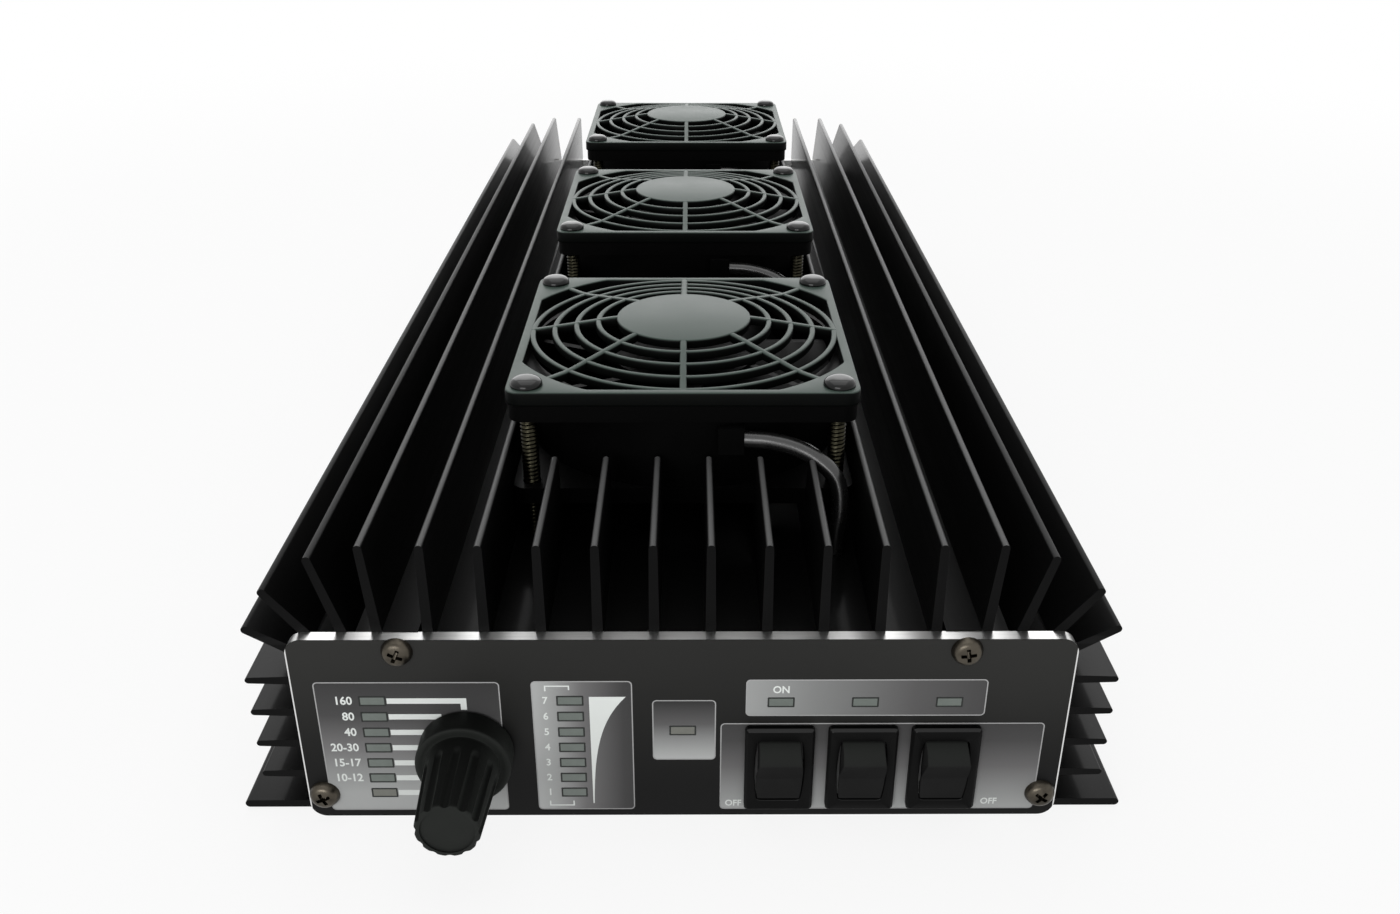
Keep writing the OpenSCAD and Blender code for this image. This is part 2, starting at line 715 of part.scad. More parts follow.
module fan_guard(y) {
    side = fan_size + 2 * guard_over;
    open_r = duct_r + 5.8;
    color([0.1, 0.11, 0.1]) translate([0, y, 0]) {
        difference() {
            translate([0, 0, fan_top]) linear_extrude(guard_t) difference() {
                centred_rounded(side, side, guard_r);
                intersection() {
                    square(2 * duct_r, center = true);
                    circle(open_r);
                }
            }
            fan_holes(fan_top - 1, guard_top + 1, fan_hole_d);
        }
        translate([0, 0, guard_top + disc_rise - grille_t]) cylinder(h = grille_t, r = disc_r);
        for (i = [1 : guard_rings]) {
            r = disc_r + i * ring_pitch - 0.2;
            top = guard_top + disc_rise * max(0, duct_r - r) / (duct_r - disc_r);
            translate([0, 0, top - grille_t]) difference() {
                cylinder(h = grille_t, r = r);
                translate([0, 0, -1]) cylinder(h = grille_t + 2, r = r - ring_w);
            }
        }
        for (a = [0 : 90 : 270]) spoke(a, disc_r - 1, duct_r + 0.8);
        for (a = [45 : 90 : 315]) spoke(a, disc_r - 1, open_r + 0.5);
    }
}

module fan_screws() {
    head = cap_h - cap_wall - 0.3;
    color([0.8, 0.78, 0.7]) for (y = fan_y) translate([0, y, 0]) {
        fan_holes(floor_z - fan_screw_depth + 0.5, guard_top + 0.1, fan_screw_d);
        fan_holes(guard_top, guard_top + head, cap_d - 2.4);
    }
}

module screw_caps() {
    r = cap_d / 2;
    rise = cap_h * 0.6;
    dome = (r * r + rise * rise) / (2 * rise);
    color([0.05, 0.05, 0.05]) for (y = fan_y) translate([0, y, 0])
        for (i = [-1, 1], j = [-1, 1]) translate([i * fan_hole_pitch / 2, j * fan_hole_pitch / 2, guard_top])
            difference() {
                intersection() {
                    cylinder(h = cap_h, r = r);
                    translate([0, 0, cap_h - dome]) sphere(r = dome);
                }
                translate([0, 0, -eps]) cylinder(h = cap_h - cap_wall - 0.3 + eps, d = cap_d - 2.3);
            }
}

function lead_point(p, t) =
    let (n = len(p) - 1, k = min(n - 1, floor(t)), u = t - k)
    let (a = p[max(0, k - 1)], b = p[k], c = p[k + 1], d = p[min(n, k + 2)])
    0.5 * (2 * b + (c - a) * u + (2 * a - 5 * b + 4 * c - d) * u * u + (3 * b - a - 3 * c + d) * u * u * u);

// a round tube swept along a smooth curve through the route's points, with flat ends
module fan_lead(y) {
    sides = 8;
    steps = 3;
    spans = len(lead_route) - 1;
    rings = spans * steps;
    centre = [for (i = [0 : rings]) lead_point(lead_route, i / steps)];
    across = [for (i = [0 : rings])
        i == 0 ? [1, 0, 0] : i == rings ? [0, 0, -1] : let (t = centre[i + 1] - centre[i - 1]) t / norm(t)];
    side = [for (t = across) let (s = cross(t, [0.3, 1, 0.25])) s / norm(s)];
    points = [for (i = [0 : rings], k = [0 : sides - 1])
        let (a = k * 360 / sides, s = side[i], q = cross(across[i], s))
        centre[i] + lead_r * (cos(a) * s + sin(a) * q)];
    faces = concat(
        [[for (k = [sides - 1 : -1 : 0]) k]],
        [for (i = [0 : rings - 1], k = [0 : sides - 1], h = [0, 1])
            let (m = (k + 1) % sides, a = i * sides, b = a + sides)
            h == 0 ? [a + k, a + m, b + m] : [a + k, b + m, b + k]],
        [[for (k = [0 : sides - 1]) rings * sides + k]]);
    color([0.03, 0.03, 0.03]) translate([0, y, 0]) polyhedron(points, faces);
}

module rotary_switch() {
    color([0.25, 0.25, 0.26]) difference() {
        union() {
            rod_y(knob_x, knob_z, front_y, front_y + switch_len, 2 * switch_r);
            rod_y(knob_x, knob_z, face_y - bushing_out, front_y + 1, bushing_d);
        }
        rod_y(knob_x, knob_z, face_y - bushing_out - 1, front_y + shaft_in, shaft_d + 2 * fit);
    }
}

module switch_washer() {
    color([0.7, 0.7, 0.7]) difference() {
        rod_y(knob_x, knob_z, face_y - washer_t, face_y, 2 * washer_r);
        rod_y(knob_x, knob_z, face_y - washer_t - 1, face_y + 1, bushing_d + 2 * fit);
    }
}

module switch_nut() {
    color([0.7, 0.7, 0.7]) difference() {
        translate([knob_x, face_y - washer_t, knob_z]) rotate([90, 0, 0])
            cylinder(h = nut_t, d = nut_flats / cos(30), $fn = 6);
        rod_y(knob_x, knob_z, face_y - washer_t - nut_t - 1, face_y, bushing_d + 2 * fit);
    }
}

module switch_shaft() {
    color([0.75, 0.75, 0.75])
        rod_y(knob_x, knob_z, face_y - shaft_out, front_y + shaft_in - 0.5, shaft_d);
}

// the knob in its own frame: z runs out from the panel along the shaft
module knob_solid() {
    grip_z = knob_gap + skirt_t;
    lean = atan2((grip_d - grip_front_d) / 2, knob_reach - grip_z);
    difference() {
        union() {
            rotate_extrude() polygon([
                [0, knob_gap], [skirt_d / 2 - 0.3, knob_gap], [skirt_d / 2, knob_gap + 0.3],
                [skirt_d / 2, grip_z - 0.5], [skirt_d / 2 - 0.5, grip_z], [0, grip_z]
            ]);
            translate([0, 0, grip_z - 0.5]) rotate_extrude() polygon([
                [0, 0], [grip_d / 2, 0], [grip_d / 2, 0.5],
                [grip_front_d / 2, knob_reach - grip_z - 0.3],
                [grip_front_d / 2 - 0.6, knob_reach - grip_z + 0.5], [0, knob_reach - grip_z + 0.5]
            ]);
        }
        for (i = [0 : flutes - 1]) rotate(i * 360 / flutes)
            translate([grip_d / 2 + flute_r - flute_depth, 0, grip_z + flute_start]) rotate([0, -lean, 0]) {
                sphere(flute_r);
                cylinder(h = knob_reach, r = flute_r);
            }
        translate([0, 0, knob_reach - dish_t]) cylinder(h = dish_t + 1, r = dish_r);
        cylinder(h = knob_gap + knob_cup_t, r = knob_cup_r);
        cylinder(h = shaft_out, d = shaft_d + 2 * fit);
    }
}

module knob() {
    color([0.04, 0.04, 0.04]) translate([knob_x, face_y, knob_z]) rotate([90, 0, 0]) knob_solid();
}

// chamfered side view of a bezel, used across both its width and its height
module bezel_side(w) {
    c = bezel_chamfer;
    h = w / 2;
    polygon([[-h, 0], [h, 0], [h, bezel_t - c], [h - c, bezel_t], [c - h, bezel_t], [-h, bezel_t - c]]);
}

module bezel_flange() {
    intersection() {
        along_y(-bezel_t, 0) centred_rounded(bezel_w, bezel_h, bezel_r);
        rotate([0, 0, 180]) translate([0, 0, -bezel_h / 2]) linear_extrude(bezel_h) bezel_side(bezel_w);
        translate([-bezel_w / 2, 0, 0]) rotate([0, 90, 0]) rotate([0, 0, 180]) linear_extrude(bezel_w)
            bezel_side(bezel_h);
    }
}

// barrel shape of the opening, drawn in by a margin: x is its width and y its height
module barrel(margin) {
    intersection() {
        centred_rounded(well_w - 2 * margin, well_h - 2 * margin, well_r);
        translate([bow_r - well_w / 2, 0]) circle(bow_r - margin, $fn = 360);
        translate([well_w / 2 - bow_r, 0]) circle(bow_r - margin, $fn = 360);
    }
}

module switch_bezel(i) {
    color([0.06, 0.06, 0.06]) translate([rocker_at(i), face_y, rocker_z]) difference() {
        union() {
            bezel_flange();
            along_y(-0.2, body_len) square([body_w, body_h], center = true);
            for (z = [-6, 0, 6]) box_at(-2.4, 2.4, body_len - 1, body_len + tab_len, z - 0.4, z + 0.4);
        }
        along_y(-bezel_t - 1, well_depth - bezel_t) barrel(0);
        translate([-body_w, pivot_y - face_y, 0]) rotate([0, 90, 0])
            cylinder(h = 2 * body_w, d = pivot_d + 2 * fit);
    }
}

// side view of a rocker: x runs forward from the pivot and y runs up
module rocker_side() {
    intersection() {
        circle(rocker_r, $fn = 96);
        polygon([
            [valley_f, 0], [edge_f + 1, edge_v + 1 / tan(rocker_slope)], [-rocker_back, rocker_r + 3],
            [-rocker_back, -rocker_r - 3], [edge_f + 1, -edge_v - 1 / tan(rocker_slope)]
        ]);
    }
}

module rocker(i) {
    color([0.06, 0.06, 0.06]) translate([rocker_at(i), pivot_y, rocker_z]) {
        rotate([half_travel, 0, 0]) intersection() {
            translate([-rocker_w / 2, 0, 0]) rotate([90, 0, 90])
                linear_extrude(rocker_w) mirror([1, 0]) rocker_side();
            along_y(-edge_f - 1, rocker_back + 1) barrel(rocker_gap);
        }
        translate([-body_w / 2 + 0.2, 0, 0]) rotate([0, 90, 0]) cylinder(h = body_w - 0.4, d = pivot_d);
    }
}

module light_column(x) {
    for (i = [0 : led_rows - 1]) bar_light(x, led_row_z(i), face_y + led_recess, display_y, led_fit);
}

module band_lights() {
    color([0.35, 0.42, 0.36]) light_column(band_led_x);
}

module power_lights() {
    color([0.35, 0.42, 0.36]) light_column(power_led_x);
}

module warning_light() {
    color([0.42, 0.4, 0.28]) bar_light(0, warning_led_z, face_y + led_recess, display_y, led_fit);
}

module status_lights() {
    color([0.35, 0.42, 0.36])
        for (i = [0 : 2]) bar_light(rocker_at(i), status_led_z, face_y + led_recess, display_y, led_fit);
}

module display_board() {
    color([0.1, 0.3, 0.16]) difference() {
        union() {
            box_at(display_left, display_right, display_y, display_y + board_t, display_z, display_top);
            box_at(display_right - 1, strip_right, display_y, display_y + board_t, strip_z, display_top);
        }
        rod_y(knob_x, knob_z, display_y - 1, display_y + board_t + 1, 2 * switch_r + 0.8);
        for (p = display_posts)
            rod_y(p[0], p[1], display_y - 1, display_y + board_t + 1, 2 * post_pin_r + 2 * fit);
    }
}

module display_posts() {
    color([0.75, 0.75, 0.72]) for (p = display_posts) {
        rod_y(p[0], p[1], front_y, display_y, 2 * post_r);
        rod_y(p[0], p[1], display_y - 0.5, display_y + board_t + 1.2, 2 * post_pin_r);
    }
}

module board_plate(y0, len, screws) {
    difference() {
        box_at(-board_w / 2, board_w / 2, y0, y0 + len, board_z, board_top);
        for (p = screws)
            translate([p[0], p[1], board_z - 1]) cylinder(h = board_t + 2, d = board_screw_d + 0.2);
    }
}

module main_board() {
    color([0.1, 0.3, 0.16]) difference() {
        board_plate(main_y, main_len, main_screws);
        for (x = [-1, 1] * transistor_x, y = transistor_y)
            translate([x, y, board_z + board_t / 2])
                cube([flange_l + 1, flange_w + 1, board_t + 2], center = true);
    }
}

module filter_board() {
    color([0.1, 0.3, 0.16]) board_plate(filter_y, filter_len, filter_screws);
}

module board_spacers() {
    color([0.7, 0.6, 0.35]) for (p = concat(main_screws, filter_screws)) translate([p[0], p[1], board_top])
        difference() {
            cylinder(h = board_drop, r = spacer_r);
            translate([0, 0, -1]) cylinder(h = board_drop + 2, d = board_screw_d + 0.2);
        }
}

module board_screws() {
    color([0.75, 0.75, 0.75]) for (p = concat(main_screws, filter_screws)) translate([p[0], p[1], 0]) {
        translate([0, 0, board_z - board_head_h]) cylinder(h = board_head_h, d = board_head_d);
        translate([0, 0, board_z - 0.5]) cylinder(h = board_t + board_drop + 4, d = board_screw_d - 2 * fit);
    }
}

module fan_connectors() {
    color([0.85, 0.83, 0.75]) for (y = fan_y)
        box_at(lead_drop_x - 3.8, lead_drop_x + 3.8, y + lead_drop_y - 2.9, y + lead_drop_y + 2.9,
            board_top, board_top + connector_h);
}

module power_transistors() {
    color([0.8, 0.78, 0.7]) for (x = [-1, 1] * transistor_x, y = transistor_y) difference() {
        union() {
            translate([x, y, web_z - flange_h / 2]) cube([flange_l, flange_w, flange_h], center = true);
            translate([x, y, board_z]) cylinder(h = web_z - board_z - 1, d = transistor_d);
        }
        for (j = [-1, 1]) translate([x + j * transistor_screw_x, y, web_z - flange_h - 1])
            cylinder(h = flange_h + 2, d = board_screw_d + 0.2);
    }
}

module transistor_screws() {
    color([0.75, 0.75, 0.75]) for (x = [-1, 1] * transistor_x, y = transistor_y, j = [-1, 1])
        translate([x + j * transistor_screw_x, y, web_z - flange_h]) {
            translate([0, 0, -transistor_head_h]) cylinder(h = transistor_head_h, d = transistor_head_d);
            translate([0, 0, -0.5]) cylinder(h = flange_h + 4, d = board_screw_d - 2 * fit);
        }
}

// two ferrite sleeves side by side between end plates, hung under the main board
module transformer(y, r, bore_r, length) {
    z = board_z - r;
    x = r + core_gap;
    for (s = [-1, 1]) difference() {
        rod_y(s * x, z, y + core_plate_t, y + length - core_plate_t, 2 * r);
        rod_y(s * x, z, y - 1, y + length + 1, 2 * bore_r);
    }
    for (p = [y, y + length - core_plate_t]) difference() {
        box_at(-x - r, x + r, p, p + core_plate_t, z - r, board_z);
        for (s = [-1, 1]) rod_y(s * x, z, p - 1, p + core_plate_t + 1, 2 * bore_r);
    }
}

module output_transformer() {
    color([0.22, 0.22, 0.24]) transformer(core_y, core_r, core_bore_r, core_len);
}

module input_transformer() {
    color([0.22, 0.22, 0.24]) transformer(driver_y, driver_r, driver_bore_r, driver_len);
}

// a wound ring that lies under a board
module wound_ring(x, y, r, wire_r) {
    translate([x, y, board_z - wire_r]) rotate_extrude() translate([r, 0]) circle(wire_r);
}

module supply_choke() {
    color([0.55, 0.3, 0.15]) wound_ring(choke_x, choke_y, choke_r, choke_wire_r);
}

module capacitors() {
    color([0.12, 0.14, 0.22]) for (x = capacitor_x, c = [tall_capacitor, short_capacitor])
        translate([x, c[2], board_z - c[1]]) cylinder(h = c[1], r = c[0]);
}

module bypass_relays() {
    color([0.85, 0.83, 0.78]) for (x = [-relay_x, relay_x])
        box_at(x - relay_w / 2, x + relay_w / 2, relay_y, relay_y + relay_len, board_z - relay_h, board_z);
}

function filter_x(i) = (i - (filter_columns - 1) / 2) * filter_pitch;

module filter_coils() {
    color([0.7, 0.15, 0.1]) for (i = [0 : filter_columns - 1], y = [coil_inset, filter_len - coil_inset])
        wound_ring(filter_x(i), filter_y + y, coil_r, coil_wire_r);
}

module filter_relays() {
    y = filter_y + (filter_len - filter_relay_len) / 2;
    color([0.85, 0.83, 0.78]) for (i = [0 : filter_columns - 1])
        box_at(filter_x(i) - filter_relay_w / 2, filter_x(i) + filter_relay_w / 2,
            y, y + filter_relay_len, board_z - filter_relay_h, board_z);
}

// panel socket with a square flange, a threaded barrel and a centre contact hole
module coax_socket(x) {
    flange_y = back_y + socket_flange_t;
    difference() {
        union() {
            translate([x, 0, rear_z]) along_y(back_y, flange_y)
                centred_rounded(socket_flange, socket_flange, 1.5);
            rod_y(x, rear_z, back_y + 1, flange_y + barrel_len, barrel_d);
            rod_y(x, rear_z, rear_y - socket_in, back_y + 1, barrel_d - 1);
            rod_y(x, rear_z, rear_y - socket_in - 4, rear_y, contact_d);
        }
        rod_y(x, rear_z, flange_y + barrel_len - 9, flange_y + barrel_len + 1, contact_d);
        socket_holes(x, back_y - 1, flange_y + 1, socket_hole_d);
    }
}

module input_socket() {
    color([0.72, 0.7, 0.66]) coax_socket(input_x);
}

module output_socket() {
    color([0.72, 0.7, 0.66]) coax_socket(output_x);
}

module socket_screws() {
    half = socket_hole_pitch / 2;
    color([0.7, 0.7, 0.7]) for (x = [input_x, output_x], i = [-1, 1], j = [-1, 1])
        translate([x + i * half, back_y + socket_flange_t, rear_z + j * half])
            mirror([0, 1, 0]) cross_screw(5.2, 1.6, socket_hole_d - 0.2, panel_t + 4);
}

module control_jack() {
    color([0.75, 0.72, 0.6]) difference() {
        union() {
            rod_y(jack_x, rear_z, back_y, back_y + jack_flange_t, jack_flange_d);
            rod_y(jack_x, rear_z, back_y + 1, back_y + jack_len, jack_d);
            rod_y(jack_x, rear_z, rear_y - 8, back_y + 1, jack_thread);
        }
        rod_y(jack_x, rear_z, back_y + 2, back_y + jack_len + 1, jack_bore);
    }
}

module control_jack_nut() {
    color([0.7, 0.7, 0.7]) difference() {
        translate([jack_x, rear_y, rear_z]) rotate([90, 0, 0])
            cylinder(h = jack_nut_t, d = jack_nut_d, $fn = 6);
        rod_y(jack_x, rear_z, rear_y - jack_nut_t - 1, rear_y + 1, jack_thread + 2 * fit);
    }
}

module cable_gland() {
    cap_y = back_y + gland_hex_t;
    end_y = cap_y + gland_cap_len;
    color([0.06, 0.06, 0.06]) difference() {
        union() {
            translate([gland_x, back_y, rear_z]) rotate([-90, 0, 0])
                cylinder(h = gland_hex_t, d = gland_flats / cos(30), $fn = 6);
            rod_y(gland_x, rear_z, rear_y - gland_nut_t - 2, back_y + 1, gland_thread);
            rod_y(gland_x, rear_z, cap_y - 1, end_y, gland_cap_d);
            translate([gland_x, end_y - eps, rear_z]) rotate([-90, 0, 0])
                cylinder(h = gland_taper, d1 = gland_cap_d, d2 = gland_bore + 2 * gland_wall);
        }
        rod_y(gland_x, rear_z, rear_y - gland_nut_t - 3, end_y + gland_taper + 1, gland_bore);
    }
}

module gland_nut() {
    color([0.06, 0.06, 0.06]) difference() {
        translate([gland_x, rear_y, rear_z]) rotate([90, 0, 0])
            cylinder(h = gland_nut_t, d = gland_flats / cos(30), $fn = 6);
        rod_y(gland_x, rear_z, rear_y - gland_nut_t - 1, rear_y + 1, gland_thread + 2 * fit);
    }
}

heat_sink();
front_panel();
front_panel_screws();
rear_panel();
rear_panel_screws();
bottom_cover();
cover_screws();
fan_frame(fan_y[0]);  // fan_frame_1
fan_frame(fan_y[1]);  // fan_frame_2
fan_frame(fan_y[2]);  // fan_frame_3
fan_rotor(fan_y[0]);  // fan_rotor_1
fan_rotor(fan_y[1]);  // fan_rotor_2
fan_rotor(fan_y[2]);  // fan_rotor_3
fan_guard(fan_y[0]);  // fan_guard_1
fan_guard(fan_y[1]);  // fan_guard_2
fan_guard(fan_y[2]);  // fan_guard_3
fan_screws();
screw_caps();
fan_lead(fan_y[0]);  // fan_lead_1
fan_lead(fan_y[1]);  // fan_lead_2
fan_lead(fan_y[2]);  // fan_lead_3
rotary_switch();
switch_nut();
switch_washer();
switch_shaft();
knob();
switch_bezel(0);  // switch_bezel_1
switch_bezel(1);  // switch_bezel_2
switch_bezel(2);  // switch_bezel_3
rocker(0);  // rocker_1
rocker(1);  // rocker_2
rocker(2);  // rocker_3
band_lights();
power_lights();
warning_light();
status_lights();
display_board();
display_posts();
main_board();
filter_board();
board_spacers();
board_screws();
fan_connectors();
power_transistors();
transistor_screws();
input_transformer();
output_transformer();
supply_choke();
capacitors();
bypass_relays();
filter_coils();
filter_relays();
input_socket();
output_socket();
socket_screws();
control_jack();
control_jack_nut();
cable_gland();
gland_nut();
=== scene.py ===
"""Looks of a radio-frequency power amplifier: finishes, fine parts and the print on its front panel.

Sizes are in millimetres until a piece is made. The axes are the frame's: +X to the right, +Y to the back
and +Z up.
A piece is made at the origin, with its points where they belong.
"""

import json

import bmesh
import bpy
import numpy as np
from mathutils import Matrix, Vector


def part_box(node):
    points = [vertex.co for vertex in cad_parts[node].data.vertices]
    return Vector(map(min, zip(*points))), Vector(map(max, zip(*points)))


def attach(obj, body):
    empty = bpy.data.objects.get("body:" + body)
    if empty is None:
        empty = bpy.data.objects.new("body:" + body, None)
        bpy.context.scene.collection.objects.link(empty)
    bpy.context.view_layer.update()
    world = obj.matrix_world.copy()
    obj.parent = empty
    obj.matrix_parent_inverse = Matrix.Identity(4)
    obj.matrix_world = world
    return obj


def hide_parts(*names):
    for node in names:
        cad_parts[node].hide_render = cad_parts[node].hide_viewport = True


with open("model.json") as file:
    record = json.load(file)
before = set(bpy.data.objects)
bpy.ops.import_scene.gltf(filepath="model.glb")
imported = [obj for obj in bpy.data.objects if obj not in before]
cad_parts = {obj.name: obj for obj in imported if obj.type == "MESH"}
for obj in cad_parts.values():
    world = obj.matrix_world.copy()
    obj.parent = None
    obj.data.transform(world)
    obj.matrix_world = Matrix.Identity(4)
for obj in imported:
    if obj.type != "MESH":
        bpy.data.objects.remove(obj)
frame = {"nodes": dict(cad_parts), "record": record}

MM = 0.001
TAU = 2 * np.pi
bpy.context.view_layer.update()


def node_box(name):
    """Lowest and highest corner of a CAD node, in millimetres."""
    low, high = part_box(name)
    return np.array(low) / MM, np.array(high) / MM


def middle_of(name):
    """Middle of a CAD node's box, in millimetres."""
    low, high = node_box(name)
    return (low + high) / 2


FACE_Y = node_box("front_panel")[0][1]
BACK_Y = node_box("rear_panel")[1][1]


def add_object(name, data):
    """A new object at the origin, linked to the scene."""
    made = bpy.data.objects.new(name, data)
    bpy.context.scene.collection.objects.link(made)
    return made


# -------------------- camera

PHOTO_WIDTH = 1400  # pixels
FOCAL_PIXELS = 1262.6
SENSOR_WIDTH = 36.0
CAMERA_PLACE = (1.74, -425.07, 197.93)
CAMERA_DOWN = 26.66  # degrees below the horizon
CAMERA_YAW = -0.47
CAMERA_ROLL = 0.185
CLIP_METRES = (0.01, 50)


def make_camera():
    """The photograph's view: from the front and above, turned a little about the upright and its own axis."""
    data = bpy.data.cameras.new("camera")
    data.sensor_width = SENSOR_WIDTH
    data.lens = FOCAL_PIXELS * SENSOR_WIDTH / PHOTO_WIDTH
    data.clip_start, data.clip_end = CLIP_METRES
    camera = add_object("camera", data)
    camera.matrix_world = (
        Matrix.Translation(Vector(CAMERA_PLACE) * MM)
        @ Matrix.Rotation(np.radians(CAMERA_YAW), 4, "Z")
        @ Matrix.Rotation(np.radians(90 - CAMERA_DOWN), 4, "X")
        @ Matrix.Rotation(np.radians(CAMERA_ROLL), 4, "Z")
    )
    bpy.context.scene.camera = camera


make_camera()


# -------------------- materials


def math_node(operation, swapped=False):
    """A method of Wire that adds a Math node fed by the Wire and the method's arguments."""

    def method(*values):
        tree = values[0].tree
        node = tree.nodes.new("ShaderNodeMath")
        node.operation = operation
        for socket, value in zip(node.inputs, values[::-1] if swapped else values):
            feed(tree, socket, value)
        return Wire(tree, node.outputs[0])

    return method


class Wire:
    """One output socket of a tree. Arithmetic on it adds Math nodes."""

    def __init__(self, tree, socket):
        self.tree, self.socket = tree, socket

    __add__ = __radd__ = math_node("ADD")
    __mul__ = __rmul__ = math_node("MULTIPLY")
    __sub__, __rsub__ = math_node("SUBTRACT"), math_node("SUBTRACT", swapped=True)
    __truediv__, __abs__ = math_node("DIVIDE"), math_node("ABSOLUTE")
    __gt__, __lt__ = math_node("GREATER_THAN"), math_node("LESS_THAN")
    fraction, most = math_node("FRACT"), math_node("MAXIMUM")


def feed(tree, socket, value):
    """Links a Wire to a socket, or sets the socket to a number, a vector or a colour."""
    if isinstance(value, Wire):
        tree.links.new(value.socket, socket)
    else:
        socket.default_value = value


class Tree:
    """A node tree being wired. node() adds any node, sets it up and gives one of its outputs as a Wire."""

    def __init__(self, tree):
        self.tree = tree
        tree.nodes.clear()

    def node(self, kind, sockets=None, output=0, **settings):
        node = self.tree.nodes.new("ShaderNode" + kind)
        stops = settings.pop("stops", None)
        for key, value in settings.items():
            setattr(node, key, value)
        if stops:
            ramp = node.color_ramp
            while len(ramp.elements) < len(stops):
                ramp.elements.new(0.5)
            for element, (place, colour) in zip(ramp.elements, stops):
                element.position, element.color = place, (*colour, 1)
        for key, value in (sockets or {}).items():
            feed(self.tree, node.inputs[key], value)
        return Wire(self.tree, node.outputs[output])

    def mix(self, amount, first, second):
        """Colour between first, at amount 0, and second, at 1."""
        first, second = ((*c, 1) if isinstance(c, tuple) else c for c in (first, second))
        return self.node("Mix", {0: amount, 6: first, 7: second}, output=2, data_type="RGBA")

    def noise(self, grain, detail=2.0, stretch=(1, 1, 1)):
        """Noise with spots of about grain millimetres, drawn out along each axis by stretch."""
        scale = tuple(1 / (grain * MM * s) for s in stretch)
        where = self.node("Mapping", {"Vector": self.place(), "Scale": scale})
        return self.node("TexNoise", {"Vector": where, "Scale": 1.0, "Detail": detail})

    def place(self):
        """The object's own coordinates, in metres."""
        return self.node("TexCoord", output=3)

    def axis(self, name):
        """One coordinate of the object, in millimetres."""
        return self.node("SeparateXYZ", {0: self.place()}, output="XYZ".index(name)) * (1 / MM)

    def step(self, value, low, high):
        """Rises smoothly from 0 at low to 1 at high."""
        return self.node("MapRange", {0: value, 1: low, 2: high}, interpolation_type="SMOOTHSTEP")

    def bump(self, height, depth):
        """Normal of a surface whose height, from 0 to 1, is depth millimetres."""
        return self.node("Bump", {"Height": height, "Distance": depth * MM, "Strength": 1.0})

    def end(self, kind, wire):
        """Adds the tree's output node, fed by the wire."""
        feed(self.tree, self.tree.nodes.new("ShaderNodeOutput" + kind).inputs[0], wire)


class Finish(Tree):
    """A surface material. Constants sit on the shader's own sockets, and wear() feeds the ones that vary."""

    def __init__(self, name, **constants):
        self.material = bpy.data.materials.new(name)
        self.material.use_nodes = True
        super().__init__(self.material.node_tree)
        self.shader = self.tree.nodes.new("ShaderNodeBsdfPrincipled")
        self.end("Material", Wire(self.tree, self.shader.outputs[0]))
        for key, value in constants.items():
            self.shader.inputs[key.replace("_", " ").title().replace("Ior", "IOR")].default_value = value

    def wear(self, colour, roughness, metallic=None, normal=None, coat=None):
        """Feeds what varies over the surface, and gives the material."""
        values = (colour, roughness, metallic, normal, coat)
        for socket, value in zip(("Base Color", "Roughness", "Metallic", "Normal", "Coat Weight"), values):
            if value is not None:
                feed(self.tree, self.shader.inputs[socket], value)
        return self.material

    def normal_z(self):
        """Z of the face's normal, which is 1 where the face looks straight up."""
        return self.node("SeparateXYZ", {0: self.node("NewGeometry", output=1)}, output=2)

    def facing_up(self, least):
        """0 on faces whose normal rises by least or less, and 1 on faces that look straight up."""
        return self.step(self.normal_z(), least, 0.98)


def scaled(colour, share):
    """A colour with each of its parts times share."""
    return tuple(c * share for c in colour)


def shade(level, tint=(1, 1, 1)):
    """Linear colour of a picture level from 0 to 255, tinted."""
    value = level / 255
    linear = value / 12.92 if value <= 0.04045 else ((value + 0.055) / 1.055) ** 2.4
    return scaled(tint, linear)


def moulded(name, colour, roughness, grain=0.35, depth=0.02, mottle=0.25, gloss=0.4, polish=None, painted_top_tone=None):
    """Moulded plastic: a spark-eroded grain and slow changes of tone and gloss.

    Faces that look up have a skin of polish's roughness and weight and, where given, a last colour painted on
    them as painted light or painted shade.
    """
    finish = Finish(name, specular_ior_level=gloss, coat_roughness=polish[0] if polish else 0.03)
    cloud = finish.noise(9, 3)
    fine = finish.noise(grain, 3)
    tone = finish.mix(cloud, scaled(colour, 1 - mottle), scaled(colour, 1 + mottle))
    up = finish.facing_up(0.35)
    # faces that look up take the last colour, where given: painted light or painted shade on them
    return finish.wear(
        finish.mix(up, tone, painted_top_tone) if painted_top_tone else tone,
        roughness + (cloud - 0.5) * 0.16 + (fine - 0.5) * 0.08,
        normal=finish.bump(fine, depth),
        coat=up * polish[1] if polish else None,
    )


def bezel_plastic():
    """Black moulding with painted shade behind its face, and a painted highlight on its chamfers that face
    half upwards, which are also smooth and shiny.
    """
    finish = Finish("bezel_plastic", specular_ior_level=0.04, coat_roughness=0.2)
    cloud, fine, up = finish.noise(6, 3), finish.noise(0.2, 3), finish.normal_z()
    # painted highlight: the chamfers that face half upwards are lighter, as well as glossy
    chamfer = finish.step(up, 0.45, 0.6) * (1.0 - finish.step(up, 0.8, 0.92))
    # painted shade: darker deeper in, behind the flange's face
    recess_shade = finish.step(finish.axis("Y") - node_box("switch_bezel_1")[0][1], 0.55, 0.9)
    tone = finish.mix(recess_shade, finish.mix(cloud, shade(13), shade(18)), shade(3))
    return finish.wear(
        finish.mix(chamfer, tone, shade(20)),
        0.42 + (cloud - 0.5) * 0.1 + (fine - 0.5) * 0.08,
        normal=finish.bump(fine, 0.016),
        coat=chamfer * 0.5,
    )


